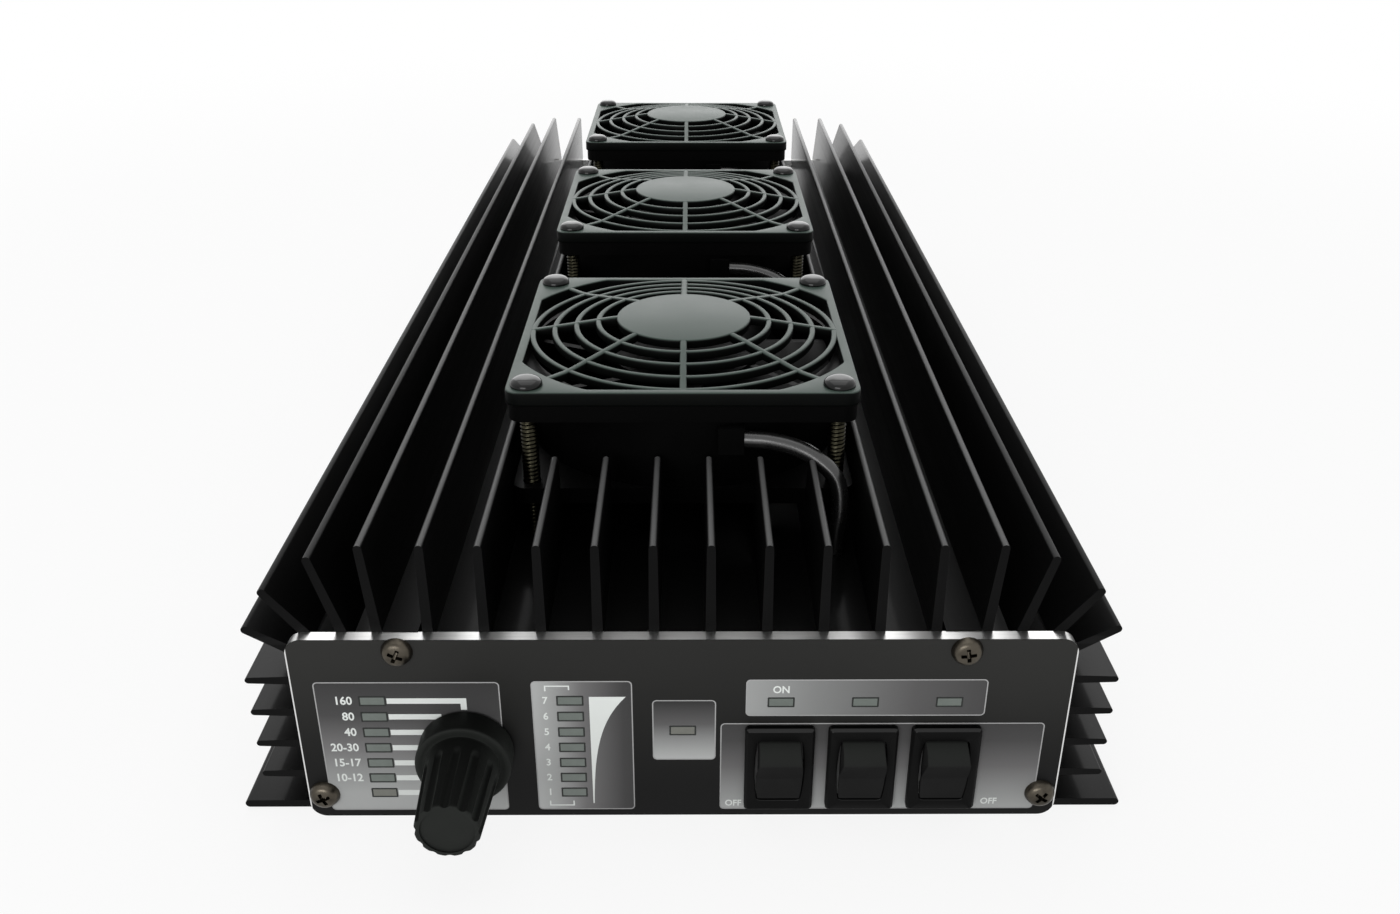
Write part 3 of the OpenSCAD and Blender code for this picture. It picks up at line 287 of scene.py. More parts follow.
def metal(name, colour, roughness, grain=0.5, tarnish=0.3, pitch=None, stretch=(1, 1, 1)):
    """Plated or bare metal: tool marks drawn out along one axis and a cloudy tarnish.

    With a pitch, a barrel's thread: ridges |2 f - 1| across the Y axis, f being the fraction of y / pitch.
    """
    finish = Finish(name)
    marks = finish.noise(grain, 4, stretch)
    cloud = finish.noise(3, 4)
    height, rise = marks, 0.004
    if pitch:
        height, rise = abs((finish.axis("Y") / pitch).fraction() * 2 - 1) + marks * 0.03, 0.3
    return finish.wear(
        finish.mix(finish.step(cloud, 0.35, 0.75) * tarnish, colour, scaled(colour, 0.35)),
        roughness + (marks - 0.5) * 0.2 + (cloud - 0.5) * 0.15,
        metallic=1.0,
        normal=finish.bump(height, rise),
    )


WEB_Z = 45.0  # upper side of the web, between the upright fins
SIDE_TOP = 43.0  # height under which the side fins lie
TIP_HIGHLIGHT_Z = (64.5, 67.4)  # heights between which the fins' tips turn light grey: a painted highlight
WEB_GLOSS_Y = (-80, 190)  # stretches along the case over which its gloss rises
FAR_GLOSS_Y = (90, 215)


def anodised():
    """Black anodised extrusion: die lines along Y, soft tonal bands, a painted highlight on the fin tips and
    a little dust.

    A smooth skin gains weight towards the far end, on the web and above it, and lies thinly on the side fins.
    """
    finish = Finish("anodised_black", specular_ior_level=0.07, coat_roughness=0.12)
    lines = finish.noise(0.9, 3, (1, 220, 1))
    fine = finish.noise(0.22, 2, (1, 60, 1))
    cloud = finish.noise(22, 3, (1, 5, 1))
    up, y, z = finish.facing_up(0.6), finish.axis("Y"), finish.axis("Z")
    dust = finish.step(finish.noise(0.8, 5), 0.62, 0.8) * up * 0.03
    # painted highlight: the fin tips turn light grey, where light catches their rounded tops
    tip_highlight = finish.step(z, *TIP_HIGHLIGHT_Z) * up
    web = (abs(z - WEB_Z) < 1.0) * (finish.step(y, *WEB_GLOSS_Y) * 0.9 + 0.1)
    far = finish.step(y, *FAR_GLOSS_Y) * (z > WEB_Z + 1)
    side = (z < SIDE_TOP) * up
    body = finish.mix(cloud, shade(4), shade(9, (1, 1, 1.02)))
    return finish.wear(
        finish.mix(dust, finish.mix(tip_highlight * (lines * 0.5 + 0.5), body, shade(100)), shade(150)),
        0.4 + (cloud - 0.5) * 0.16 + (lines - 0.5) * 0.14,
        normal=finish.bump(lines * 0.7 + fine * 0.3, 0.012),
        coat=web.most(side * 0.22).most(far * 0.6),
    )


BARE_RIM = 0.28  # width of the rubbed metal at the panels' upright edges
FILM_T = 0.12  # depth behind the outer faces to which the film's colour reaches


def printed_panel():
    """Charcoal film on the end panels' outer faces, with painted light that makes it lighter towards top and
    ends; sawn metal elsewhere.
    """
    finish = Finish("panel_print", specular_ior_level=0.12)
    from_middle, y = abs(finish.axis("X")), finish.axis("Y")
    side = node_box("front_panel")[1][0]
    film = (y < FACE_Y + FILM_T).most(y > BACK_Y - FILM_T) * (from_middle < side - BARE_RIM)
    fine = finish.noise(0.16, 3)
    # painted light: the film turns lighter towards the top, and more so towards the ends
    ends = finish.step(from_middle, 15, 75) * 0.25 + 0.75
    rise = finish.step(finish.axis("Z") + (finish.noise(30, 3) - 0.5) * 8, 4, 50) * ends
    saw = finish.noise(0.35, 4, (30, 1, 1))
    charcoal = finish.mix(rise, shade(9), shade(44, (1.02, 1.02, 0.96)))
    bare = finish.mix(saw, shade(205), shade(238, (1, 1, 0.98)))
    return finish.wear(
        finish.mix(film, bare, charcoal),
        film * 0.16 + 0.3 + (fine - 0.5) * 0.1,
        metallic=1.0 - film,
        normal=finish.bump(fine * film + saw * (1.0 - film), 0.006),
    )


def board():
    """Green solder mask over tracks: darker green lines where the copper is raised, with tinned pads."""
    finish = Finish("circuit_board", coat_roughness=0.15)
    x, y = finish.axis("X"), finish.axis("Y")
    warp = finish.noise(14, 2) * 9
    tracks = ((x * 0.4 + warp).fraction() > 0.62).most((y * 0.25 + warp).fraction() > 0.8)
    pads = finish.node("TexVoronoi", {"Vector": finish.place(), "Scale": 260.0, "Randomness": 0.25}) < 0.12
    return finish.wear(
        finish.mix(pads, finish.mix(tracks, shade(46, (0.35, 1, 0.5)), shade(66, (0.3, 1, 0.5))), shade(196)),
        0.35 - pads * 0.1,
        metallic=pads * 0.9,
        normal=finish.bump(tracks.most(pads), 0.035),
    )


def wound(name, colour, copper, turns):
    """A painted core with enamelled wire round it, as rounded stripes across the direction x + y."""
    finish = Finish(name, specular_ior_level=0.5)
    along = finish.axis("Y") + finish.axis("X")
    stripe = abs((along * turns).fraction() - 0.5) * 2
    wire = stripe < 0.72
    cloud = finish.noise(2.5, 3)
    return finish.wear(
        finish.mix(wire, colour, finish.mix(cloud, copper, scaled(copper, 0.6))),
        0.42 - wire * 0.12 + (cloud - 0.5) * 0.1,
        metallic=wire * 0.8,
        normal=finish.bump(1.0 - stripe, 0.4),
    )


def lens(name, colour):
    """Unlit diffusing window of a bar light: a clear skin over a mottled, slightly streaky filling."""
    finish = Finish(name, coat_roughness=0.08, coat_weight=0.6)
    cloud = finish.noise(1.6, 3)
    streak = finish.noise(0.3, 2, (5, 1, 1))
    return finish.wear(
        finish.mix(cloud * 0.6 + streak * 0.4, scaled(colour, 0.78), scaled(colour, 1.2)),
        0.42 + (streak - 0.5) * 0.2,
        normal=finish.bump(streak, 0.01),
    )


def ink(name, stops, axis="Z", low=0.0, high=1.0, sparkle=0.05):
    """Screen ink shaded along one axis from low to high, with a fine half-tone grain in tone and gloss."""
    finish = Finish(name, specular_ior_level=0.12)
    along = finish.node("MapRange", {0: finish.axis(axis), 1: low, 2: high})
    tone = finish.node("ValToRGB", {0: along}, stops=stops)
    grain = finish.noise(0.13, 2)
    return finish.wear(
        finish.mix(grain * sparkle * 2, tone, finish.mix(0.5, tone, shade(235))),
        0.42 + (grain - 0.5) * 0.16,
        normal=finish.bump(grain, 0.004),
    )


# name: colour, roughness, grain, depth, mottle, gloss, polish, and a colour painted on faces that look up as
# painted light or painted shade
MOULDED = {
    "fan_plastic": (shade(4), 0.5, 0.35, 0.02, 0.25, 0.03, (0.4, 0.35)),
    # the guard's last colour is a painted sheen: faces that look up are lighter and greener
    "guard_plastic": (
        shade(8, (0.9, 1.08, 0.98)), 0.4, 0.3, 0.012, 0.12, 0.05, (0.3, 0.3), shade(73, (0.78, 1.12, 0.95)),
    ),
    "cap_plastic": (shade(6, (0.9, 1.06, 1)), 0.14, 1.2, 0.003, 0.15, 0.25, (0.05, 0.35)),
    "sleeve": (shade(20), 0.26, 1.5, 0.02, 0.2, 0.9),
    # the knob's last colour is painted shade: faces that look up are darker
    "knob_plastic": (
        shade(40, (0.96, 1.04, 0.96)), 0.5, 0.22, 0.02, 0.15, 0.04, None, shade(16, (0.96, 1.04, 0.96)),
    ),
    "switch_plastic": (shade(10, (0.98, 1.01, 1)), 0.42, 0.2, 0.016, 0.15, 0.05),
    # the rocker's last colour is painted light: faces that look up, such as the upper slope, are lighter
    "rocker_plastic": (shade(37), 0.5, 0.2, 0.02, 0.2, 0.0, None, shade(46, (0.97, 1.03, 0.97))),
    "ferrite": (shade(66, (1, 1, 1.06)), 0.6, 0.5, 0.06),
    "relay_plastic": (shade(222, (1, 0.98, 0.92)), 0.45, 0.4, 0.02, 0.04),
    "can": (shade(58, (0.7, 0.9, 1.5)), 0.3, 2, 0.02),
    "ceramic": (shade(228, (1, 0.98, 0.9)), 0.5, 0.3, 0.02, 0.05),
    "connector": (shade(226, (1, 0.98, 0.88)), 0.5, 0.4, 0.02, 0.05),
    "gland_plastic": (shade(24), 0.48, 0.3, 0.03),
}
# name: colour, roughness, grain, tarnish, pitch of a thread, stretch of the tool marks
METALS = {
    "dark_screw": (shade(84, (1, 0.88, 0.7)), 0.34, 0.25, 0.85),
    "bright_screw": (shade(225, (1, 0.97, 0.82)), 0.2, 0.3),
    # painted shade: the fans' yellow zinc bolts are darkened to stand for the shade under the guards
    "shade_darkened_zinc": (shade(52, (1, 0.93, 0.62)), 0.3, 0.3, 0.95),
    "switch_metal": (shade(205), 0.26, 0.3, 0.3, None, (1, 12, 1)),
    "brass": (shade(205, (1, 0.76, 0.34)), 0.3),
    "socket_metal": (shade(214, (1, 0.99, 0.95)), 0.16, 0.35, 0.3, 1.06),
}
# the record's slots, and the finishes of the rockers, the bezels and the fans' bolts
LOOKS = {
    "anodised_black": anodised(),
    "panel_print": printed_panel(),
    "circuit_board": board(),
    "bezel_plastic": bezel_plastic(),
    "light_green": lens("light_green", shade(97, (0.9, 1.08, 0.95))),
    "light_olive": lens("light_olive", shade(98, (1, 1.02, 0.86))),
    "powder_core": wound("powder_core", shade(176, (1, 0.16, 0.1)), shade(184, (1, 0.46, 0.2)), 0.55),
    **{name: moulded(name, *look) for name, look in MOULDED.items()},
    **{name: metal(name, *look) for name, look in METALS.items()},
}


def dress_cad():
    """Gives every CAD node the material of its slot in the record."""
    for part in frame["record"]["subparts"]:
        mesh = frame["nodes"][part["node"]].data
        mesh.materials.clear()
        mesh.materials.append(LOOKS[part["material_slot"]])


dress_cad()


# -------------------- shapes


def grid(points, along=False):
    """Shell over rows of points, whose columns close round.

    Its rows close too when along is set, and otherwise a face closes each end.
    """
    points = np.stack(points)
    rows, columns = points.shape[:2]
    index = np.arange(rows * columns).reshape(rows, columns)
    index = np.concatenate([index, index[:, :1]], 1)
    ends = [] if along else [index[0, :0:-1].tolist(), index[-1, :-1].tolist()]
    if along:
        index = np.concatenate([index, index[:1]], 0)
    quads = np.stack([index[:-1, :-1], index[:-1, 1:], index[1:, 1:], index[1:, :-1]], -1)
    return points.reshape(-1, 3), quads.reshape(-1, 4).tolist() + ends


def piece(name, shells, slot, replaces=(), material=None, smooth=35, body="chassis"):
    """Joins shells, in millimetres, into one piece, with doubles merged and faces turned outwards."""
    points, faces, count = [], [], 0
    for shell_points, shell_faces in shells:
        points.append(shell_points)
        faces += [[i + count for i in face] for face in shell_faces]
        count += len(shell_points)
    mesh = bpy.data.meshes.new(name)
    mesh.from_pydata((np.concatenate(points) * MM).tolist(), [], faces)
    work = bmesh.new()
    work.from_mesh(mesh)
    bmesh.ops.remove_doubles(work, verts=work.verts, dist=1e-6)
    bmesh.ops.recalc_face_normals(work, faces=work.faces)
    work.to_mesh(mesh)
    work.free()
    mesh.shade_smooth()
    mesh.set_sharp_from_angle(angle=np.radians(smooth))
    mesh.materials.append(material or LOOKS[slot])
    made = add_object(name, mesh)
    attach(made, body)
    if replaces:
        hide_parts(*replaces)


def moved(shell, offset):
    """A shell with offset added to each of its points."""
    return shell[0] + offset, shell[1]


def turned(points, degrees, axis="Z"):
    """Points turned about an axis through the origin."""
    matrix = np.array(Matrix.Rotation(np.radians(degrees), 3, axis))
    return points @ matrix.T


def full_turn(sides):
    """Angles round a circle in equal steps: 2 pi n / sides."""
    return np.linspace(0, TAU, sides, endpoint=False)


def circle(turn):
    """Points at angles turn on a circle of radius 1."""
    return np.stack([np.cos(turn), np.sin(turn)], -1)


def round_z(radius, height, turn):
    """Points at angles turn about the Z axis: x = r cos t, y = r sin t, z = h."""
    return np.stack([radius * np.cos(turn), radius * np.sin(turn), height + 0 * turn], -1)


def lathe(profile, sides=72, along=False):
    """Profile of (radius, height) pairs turned about the Z axis."""
    profile = np.asarray(profile, float)
    return grid(round_z(profile[:, :1], profile[:, 1:], full_turn(sides)), along=along)


def at_height(points, height):
    """Points of a plane outline, lifted to one height."""
    return np.concatenate([points, np.full((len(points), 1), height)], 1)


def arc(centre, radius, first, last, steps=5):
    """Points of a circular arc in a plane, from angle first to last in degrees."""
    return radius * circle(np.radians(np.linspace(first, last, steps + 1))) + centre


QUARTERS = np.array([[1, 1], [-1, 1], [-1, -1], [1, -1]])  # signs of x and y, anticlockwise


def rounded_rectangle(width, height, radius, steps=6):
    """Points and outward normals round a rectangle whose corners are quarter circles, anticlockwise."""
    angle = np.radians(np.linspace(0, 90, steps + 1) + 90 * np.arange(4)[:, None]).ravel()
    normal = circle(angle)
    sign = np.repeat(QUARTERS, steps + 1, 0)
    centre = sign * (np.array([width, height]) / 2 - radius)
    return centre + radius * normal, normal


def soft_ends(low, high, low_radius, high_radius, steps=4):
    """Stations of (inset, height) that round the lower and upper edge of a prism by quarter circles."""
    turn = np.radians(np.linspace(0, 90, steps + 1))
    lower = np.stack([low_radius * (1 - np.sin(turn)), low + low_radius * (1 - np.cos(turn))], -1)
    upper = np.stack([high_radius * (1 - np.cos(turn)), high - high_radius * (1 - np.sin(turn))], -1)
    return np.concatenate([lower, upper])


def prism(outline, stations):
    """Outline (points, normals) carried through (inset, height) stations, moving in along its normals."""
    points, normals = outline
    return grid([at_height(points - normals * inset, height) for inset, height in stations])


def facing_front(shell, place):
    """A shell drawn in x and y with its height towards the viewer, stood up on the front at place."""
    return shell[0][:, [0, 2, 1]] * [1, -1, 1] + place, shell[1]


def box(low, high):
    """Closed box between two corners."""
    low, high = np.array([low, high], float)
    size = (high - low) / 2
    outline = QUARTERS * size[:2] + (low + size)[:2]
    return grid([at_height(outline, z) for z in (low[2], high[2])])


def tube(route, radius, sides=24):
    """Circle carried along a route of points, each circle square to the route's local direction."""
    route = np.asarray(route, float)
    ahead = np.gradient(route, axis=0)
    ahead /= np.linalg.norm(ahead, axis=1, keepdims=True)
    side = np.cross(ahead, [0.3, 1.0, 0.25])
    side /= np.linalg.norm(side, axis=1, keepdims=True)
    across = np.cross(ahead, side)
    turn = full_turn(sides)[:, None]
    ring = np.cos(turn)[None] * side[:, None] + np.sin(turn)[None] * across[:, None]
    return grid(route[:, None] + radius * ring)


# -------------------- fan guards and caps

FANS = (1, 2, 3)
guard_low, guard_high = node_box("fan_guard_1")
frame_low, frame_high = node_box("fan_frame_1")
FAN_X = middle_of("fan_guard_1")[0]
FAN_Y = [node_box(f"fan_guard_{i}")[0][1] + (guard_high[1] - guard_low[1]) / 2 for i in FANS]
GUARD_SIDE = guard_high[0] - guard_low[0]
GUARD_Z = frame_high[2]
GUARD_T = 3.5
GUARD_TOP = GUARD_Z + GUARD_T
GUARD_CORNER = 3.0
OPENING_HALF = 38.2
OPENING_R = 44.0
DISC_R = 16.9
DISC_TOP = guard_high[2]
RINGS = 4
RING_PITCH = 5.5
RING_W = 1.5
GRILLE_T = 2.2
SPOKE_W = 1.8
HOLE_HALF = 35.75
CAP_R = 3.75
CAP_H = 2.0
BOLT_R = 2.1
BOLT_HEAD_R = 2.55
BOLT_HEAD_DIP = 0.9  # height of the point of the hollow in a bolt's head
TAPPED_TOP = frame_low[2] + 1  # under this height a bolt is no thicker than TAPPED_R
TAPPED_R = 1.9



def square_by_angle(half, radius, turn):
    """Radius, at each angle t, of a square of that half side with rounded corners.

    Along a side it is half / max(|cos t|, |sin t|), and in a corner it reaches the corner's circle.
    """
    minor, major = np.sort(abs(circle(turn)), -1).T
    side = half / major
    centre = half - radius
    reach = centre * (major + minor)
    corner = reach + np.sqrt(np.maximum(reach**2 - 2 * centre**2 + radius**2, 0))
    return np.where(side * minor > centre, corner, side)


def round_section(width, height, radius):
    """Rounded rectangle as (across, up) pairs with its top at height 0."""
    return rounded_rectangle(width, height, radius, 3)[0] - [0, height / 2]


def grille_top(radius):
    """Height of the grille's upper side, which rises in a cone from the frame to the centre disc."""
    share = np.clip((OPENING_HALF - radius) / (OPENING_HALF - DISC_R), 0, 1)
    return GUARD_TOP + (DISC_TOP - GUARD_TOP) * share


def guard_frame():
    """Square plate with rounded edges, cut by a square whose corners are taken off by a circle."""
    turn = full_turn(256)
    outer = square_by_angle(GUARD_SIDE / 2, GUARD_CORNER, turn)
    inner = np.minimum(OPENING_HALF / abs(circle(turn)).max(-1), OPENING_R)
    rows = [(outer - inset, z) for inset, z in soft_ends(GUARD_Z, GUARD_TOP, 0.6, 0.5)]
    rows += [(inner + inset, z) for inset, z in soft_ends(GUARD_Z, GUARD_TOP, 0.2, 0.45)[::-1]]
    return grid([round_z(radius, z, turn) for radius, z in rows], along=True)


def guard_spoke(degrees, last):
    """Rounded bar from under the disc's edge out to radius last, along the cone of the grille."""
    across, up = round_section(SPOKE_W, GRILLE_T, 0.55).T
    rows = [
        np.stack([np.full(len(across), r), across, up + grille_top(r) - 0.05], -1)
        for r in np.linspace(DISC_R - 0.6, last, 12)
    ]
    points, faces = grid(rows)
    return turned(points, degrees), faces


def guard_shells():
    """Frame, centre disc with a rounded rim, four rings and eight spokes of one fan guard."""
    low = DISC_TOP - GRILLE_T
    rim = 0.55
    disc = [(0, low), (DISC_R - 0.3, low), *arc((DISC_R - rim, DISC_TOP - rim), rim, 0, 82), (0, DISC_TOP)]
    shells = [guard_frame(), lathe(disc, 96)]
    for ring in range(1, RINGS + 1):
        outer = DISC_R + ring * RING_PITCH - 0.2
        section = round_section(RING_W, GRILLE_T, 0.5) + [outer - RING_W / 2, grille_top(outer)]
        shells.append(lathe(section, 128, along=True))
    shells += [guard_spoke(a, OPENING_HALF + 0.8) for a in (0, 90, 180, 270)]
    shells += [guard_spoke(a, OPENING_R + 0.5) for a in (45, 135, 225, 315)]
    return shells


def cap_shell():
    """Domed cap: a short rim, then a crown that falls as 1 - (r / R)^3.2 raised to 0.55."""
    share = np.sqrt(np.linspace(1, 0, 18)[1:])
    foot = 0.35
    crown = foot + (CAP_H - foot) * (1 - share**3.2) ** 0.55
    profile = [(0, 0), (CAP_R - 0.12, 0), (CAP_R, 0.12), (CAP_R, foot), *zip(CAP_R * share, crown)]
    return lathe(profile, 48)


def threaded_rod(low, high, pitch=1.0, depth=0.32, sides=16):
    """A bolt's thread: r = R - depth * |2 f - 1|, where f is the fraction of z / pitch - t / (2 pi)."""
    turn = full_turn(sides)
    z = np.linspace(low, high, int((high - low) / pitch * 6))[:, None]
    r = BOLT_R - depth * abs(2 * ((z / pitch - turn / TAU) % 1) - 1)
    r = np.where(z < TAPPED_TOP, np.minimum(r, TAPPED_R), r)
    return grid(round_z(r, z, turn))


def make_fan_tops():
    """A guard on each fan, and in each of its corners a bolt with a hollow head, under a cap."""
    shells = guard_shells()
    for i, y in zip(FANS, FAN_Y):
        guard = [moved(shell, (FAN_X, y, 0)) for shell in shells]
        piece(f"guard_{i}", guard, "guard_plastic", [f"fan_guard_{i}"])
    corners = [(FAN_X + a * HOLE_HALF, y + b * HOLE_HALF) for y in FAN_Y for a in (-1, 1) for b in (-1, 1)]
    cap = cap_shell()
    caps = [moved(cap, (*corner, GUARD_TOP)) for corner in corners]
    piece("guard_caps", caps, "cap_plastic", ["screw_caps"])
    low, high = node_box("fan_screws")
    rod = threaded_rod(low[2], GUARD_TOP)
    crown = high[2] - GUARD_TOP
    head = lathe([(0, 0), (BOLT_HEAD_R, 0), (BOLT_HEAD_R, crown), (0, BOLT_HEAD_DIP)], 24)
    bolts = [moved(rod, (*corner, 0)) for corner in corners]
    bolts += [moved(head, (*corner, GUARD_TOP)) for corner in corners]
    piece("fan_bolts", bolts, "bright_screw", ["fan_screws"], LOOKS["shade_darkened_zinc"])


make_fan_tops()


# -------------------- knob

knob_low, knob_high = node_box("knob")
KNOB_X, _, KNOB_Z = middle_of("knob")
SKIRT_R = (knob_high[0] - knob_low[0]) / 2
SKIRT_TOP = 6.3
KNOB_REACH = FACE_Y - knob_low[1]
KNOB_BACK = FACE_Y - knob_high[1]
GRIP_R, GRIP_FRONT_R = 7.95, 6.7
FLUTES = 12
FLUTE_R, FLUTE_DEPTH, FLUTE_START = 1.15, 0.6, 4.0
SHAFT_R, CUP_R, CUP_TOP = 3.05, 7.6, 4.4
SHAFT_END = KNOB_REACH - 4.5
DISH_R = 5.8


def make_knob():
    """Skirt and tapered grip as one turned profile, less a leaning rod of radius FLUTE_R for each flute.

    At angle p from a flute the rod leaves r = c cos p - sqrt(a^2 - c^2 sin^2 p), where c is the distance of
    the rod's centre from the axis and a its radius there, which falls to nothing over the rod's round start.
    """
    front_edge = 0.6
    grip = np.linspace(SKIRT_TOP, KNOB_REACH - front_edge, 40)
    slope = (GRIP_R - GRIP_FRONT_R) / (KNOB_REACH - SKIRT_TOP)
    side = np.stack([GRIP_R - (grip - SKIRT_TOP) * slope, grip], -1)
    profile = np.concatenate([
        [(0, SHAFT_END), (SHAFT_R, SHAFT_END), (SHAFT_R, CUP_TOP), (CUP_R, CUP_TOP), (CUP_R, KNOB_BACK)],
        arc((SKIRT_R - 0.3, KNOB_BACK + 0.3), 0.3, -90, 0, 3),
        arc((SKIRT_R - 0.6, SKIRT_TOP - 0.6), 0.6, 0, 90, 5),
        [(SKIRT_R - 1.3, SKIRT_TOP), (SKIRT_R - 1.45, SKIRT_TOP - 0.12), (GRIP_R + 0.1, SKIRT_TOP - 0.12)],
        side,
        arc((side[-1, 0] - front_edge, KNOB_REACH - front_edge), front_edge, 10, 90, 5),
        arc((DISH_R - 0.25, KNOB_REACH - 0.25), 0.25, 90, 0, 3),
        [(DISH_R - 0.1, KNOB_REACH - 0.45), (DISH_R - 0.5, KNOB_REACH - 0.5)],
        [(3, KNOB_REACH - 0.46), (0, KNOB_REACH - 0.44)],
    ])
    turn = full_turn(FLUTES * 24)
    apart = (turn + np.pi / FLUTES) % (TAU / FLUTES) - np.pi / FLUTES
    radius, height = profile[:, :1], profile[:, 1:]
    start = SKIRT_TOP + FLUTE_START
    rod = np.sqrt(np.clip(FLUTE_R**2 - np.clip(start - height, 0, None) ** 2, 0, None))
    centre = GRIP_R - slope * (height - SKIRT_TOP) + FLUTE_R - FLUTE_DEPTH
    inside = rod**2 - (centre * np.sin(apart)) ** 2
    cut = np.where(inside > 0, centre * np.cos(apart) - np.sqrt(np.clip(inside, 0, None)), 99)
    grooved = np.where(height > SKIRT_TOP, np.minimum(radius, cut), radius)
    shell = facing_front(grid(round_z(grooved, height, turn)), (KNOB_X, FACE_Y, KNOB_Z))
    piece("fluted_knob", [shell], "knob_plastic", ["knob"], smooth=40, body="knob")


make_knob()


# -------------------- rocker switches

SWITCHES = (1, 2, 3)
bezel_low, bezel_high = node_box("switch_bezel_1")
BEZEL_W, BEZEL_H = bezel_high[0] - bezel_low[0], bezel_high[2] - bezel_low[2]
BEZEL_T = FACE_Y - bezel_low[1]
BEZEL_Z = middle_of("switch_bezel_1")[2]
WELL_W, WELL_H, WELL_R, WELL_BOW = 10.7, 16.2, 1.6, 0.6
ROCKER_GAP = 0.3
ROCKER_R = WELL_H / 2 - ROCKER_GAP
ROCKER_BACK = 3.3
ROCKER_LEAN = 20.0  # degrees, half of the travel
ROCKER_SLOPE = 10.0
ROCKER_EDGE = 0.3
ROCKER_CORNER = 0.8
VALLEY = 2.9  # distance of the crease between the slopes from the pivot
WELL_DEPTH = 7.4
BEZEL_EDGE = ((0, 0.6), (0.08, 0.5), (0.5, 0.07), (0.6, 0))  # inset and drop along the flange's chamfer
HOUSING_DEPTH = 17.0
TAB_W, TAB_T, TAB_REACH = 4.8, 0.8, 24.0
PIVOT_Y = -209.348
SWITCH_X = [middle_of(f"switch_bezel_{i}")[0] for i in SWITCHES]


def outline_normals(points):
    """Outward normals of an anticlockwise outline, square to the chord between each point's neighbours."""
    along = np.roll(points, -1, 0) - np.roll(points, 1, 0)
    normal = np.stack([along[:, 1], -along[:, 0]], -1)
    return normal / np.linalg.norm(normal, axis=1, keepdims=True)


def filleted(corners):
    """Outline through (x, y, radius) corners, each rounded by a parabola that touches both sides.

    The parabola starts and ends where an arc of that radius would.
    """
    corners = np.asarray(corners, float)
    made = []
    for before, (x, y, radius), after in zip(np.roll(corners, 1, 0), corners, np.roll(corners, -1, 0)):
        here = np.array([x, y])
        if radius == 0:
            made.append(here[None])
            continue
        to, onward = before[:2] - here, after[:2] - here
        to, onward = to / np.linalg.norm(to), onward / np.linalg.norm(onward)
        reach = radius / np.tan(np.arccos(np.clip(to @ onward, -1, 1)) / 2)
        share = np.linspace(0, 1, 6)[:, None]
        start, end = here + to * reach, here + onward * reach
        made.append((1 - share) ** 2 * start + 2 * share * (1 - share) * here + share**2 * end)
    return np.concatenate(made)


def divided(points, pitch):
    """Closed outline with points added along it, so that none lie further apart than pitch."""
    closed = np.concatenate([points, points[:1]])
    length = np.concatenate([[0], np.cumsum(np.linalg.norm(np.diff(closed, axis=0), axis=1))])
    place = np.unique(np.round(np.concatenate([length, np.arange(0, length[-1], pitch)]), 6))[:-1]
    place = place[np.concatenate([[True], np.diff(place) > 1e-3])]
    return np.stack([np.interp(place, length, closed[:, 0]), np.interp(place, length, closed[:, 1])], -1)


def half_width(height, width, tall, radius, bow):
    """Half width, at a height from its middle, of a rounded rectangle with curved sides.

    Each side is an arc that has come in by bow at WELL_H / 2.
    """
    end = tall / 2 - radius
    over = np.clip(abs(height) - end, 0, radius)
    corner = width / 2 - radius + np.sqrt(np.clip(radius**2 - over**2, 0, None))
    if bow == 0:
        return corner
    bow_r = ((WELL_H / 2) ** 2 + bow**2) / (2 * bow)
    return np.minimum(corner, width / 2 - bow_r + np.sqrt(bow_r**2 - height**2))


def barrel(width, tall, radius, bow=0.0, steps=30):
    """Points and normals of that shape, up the right side at heights -cos t * tall / 2 and down the left."""
    height = -np.cos(np.linspace(0, np.pi, steps)) * tall / 2
    side = half_width(height, width, tall, radius, bow)
    points = np.concatenate([np.stack([side, height], -1), np.stack([-side, height], -1)[::-1]])
    return points, outline_normals(points)


def rocker_shell():
    """Side view of a rocker, with a crease between its two slopes, carried across its width with soft ends.

    The width follows the height of each point of the side view, so the front view is the well's barrel shape.
    """
    slope = np.radians(ROCKER_SLOPE)
    half = np.sqrt(ROCKER_R**2 - (VALLEY * np.cos(slope)) ** 2) - VALLEY * np.sin(slope)
    edge = np.array([VALLEY + half * np.sin(slope), half * np.cos(slope)])
    edge_angle = np.degrees(np.arctan2(edge[1], edge[0]))
    back_angle = 90 + np.degrees(np.arcsin(ROCKER_BACK / ROCKER_R))
    rim = arc((0, 0), ROCKER_R, edge_angle, back_angle, 9)
    upper = [(*edge, 0.45), *((*p, 0) for p in rim[1:-1]), (*rim[-1], 0.3)]
    lower = [(x, -y, radius) for x, y, radius in upper[::-1]]
    points = divided(filleted([(VALLEY, 0, 0), *upper, *lower]), 0.7)
    normals = outline_normals(points)
    tall = 2 * ROCKER_R + ROCKER_CORNER
    limit = half_width(points[:, 1], WELL_W - 2 * ROCKER_GAP, tall, ROCKER_CORNER, WELL_BOW)
    rows = []
    for inset, drop in soft_ends(0, 0, ROCKER_EDGE, 0)[:5]:
        front, up = (points - normals * inset).T
        rows.append(np.stack([limit - drop, -front, up], -1))
    left = [row * [-1, 1, 1] for row in rows]
    shell, faces = grid(left + rows[::-1])
    return turned(shell, ROCKER_LEAN, "X"), faces


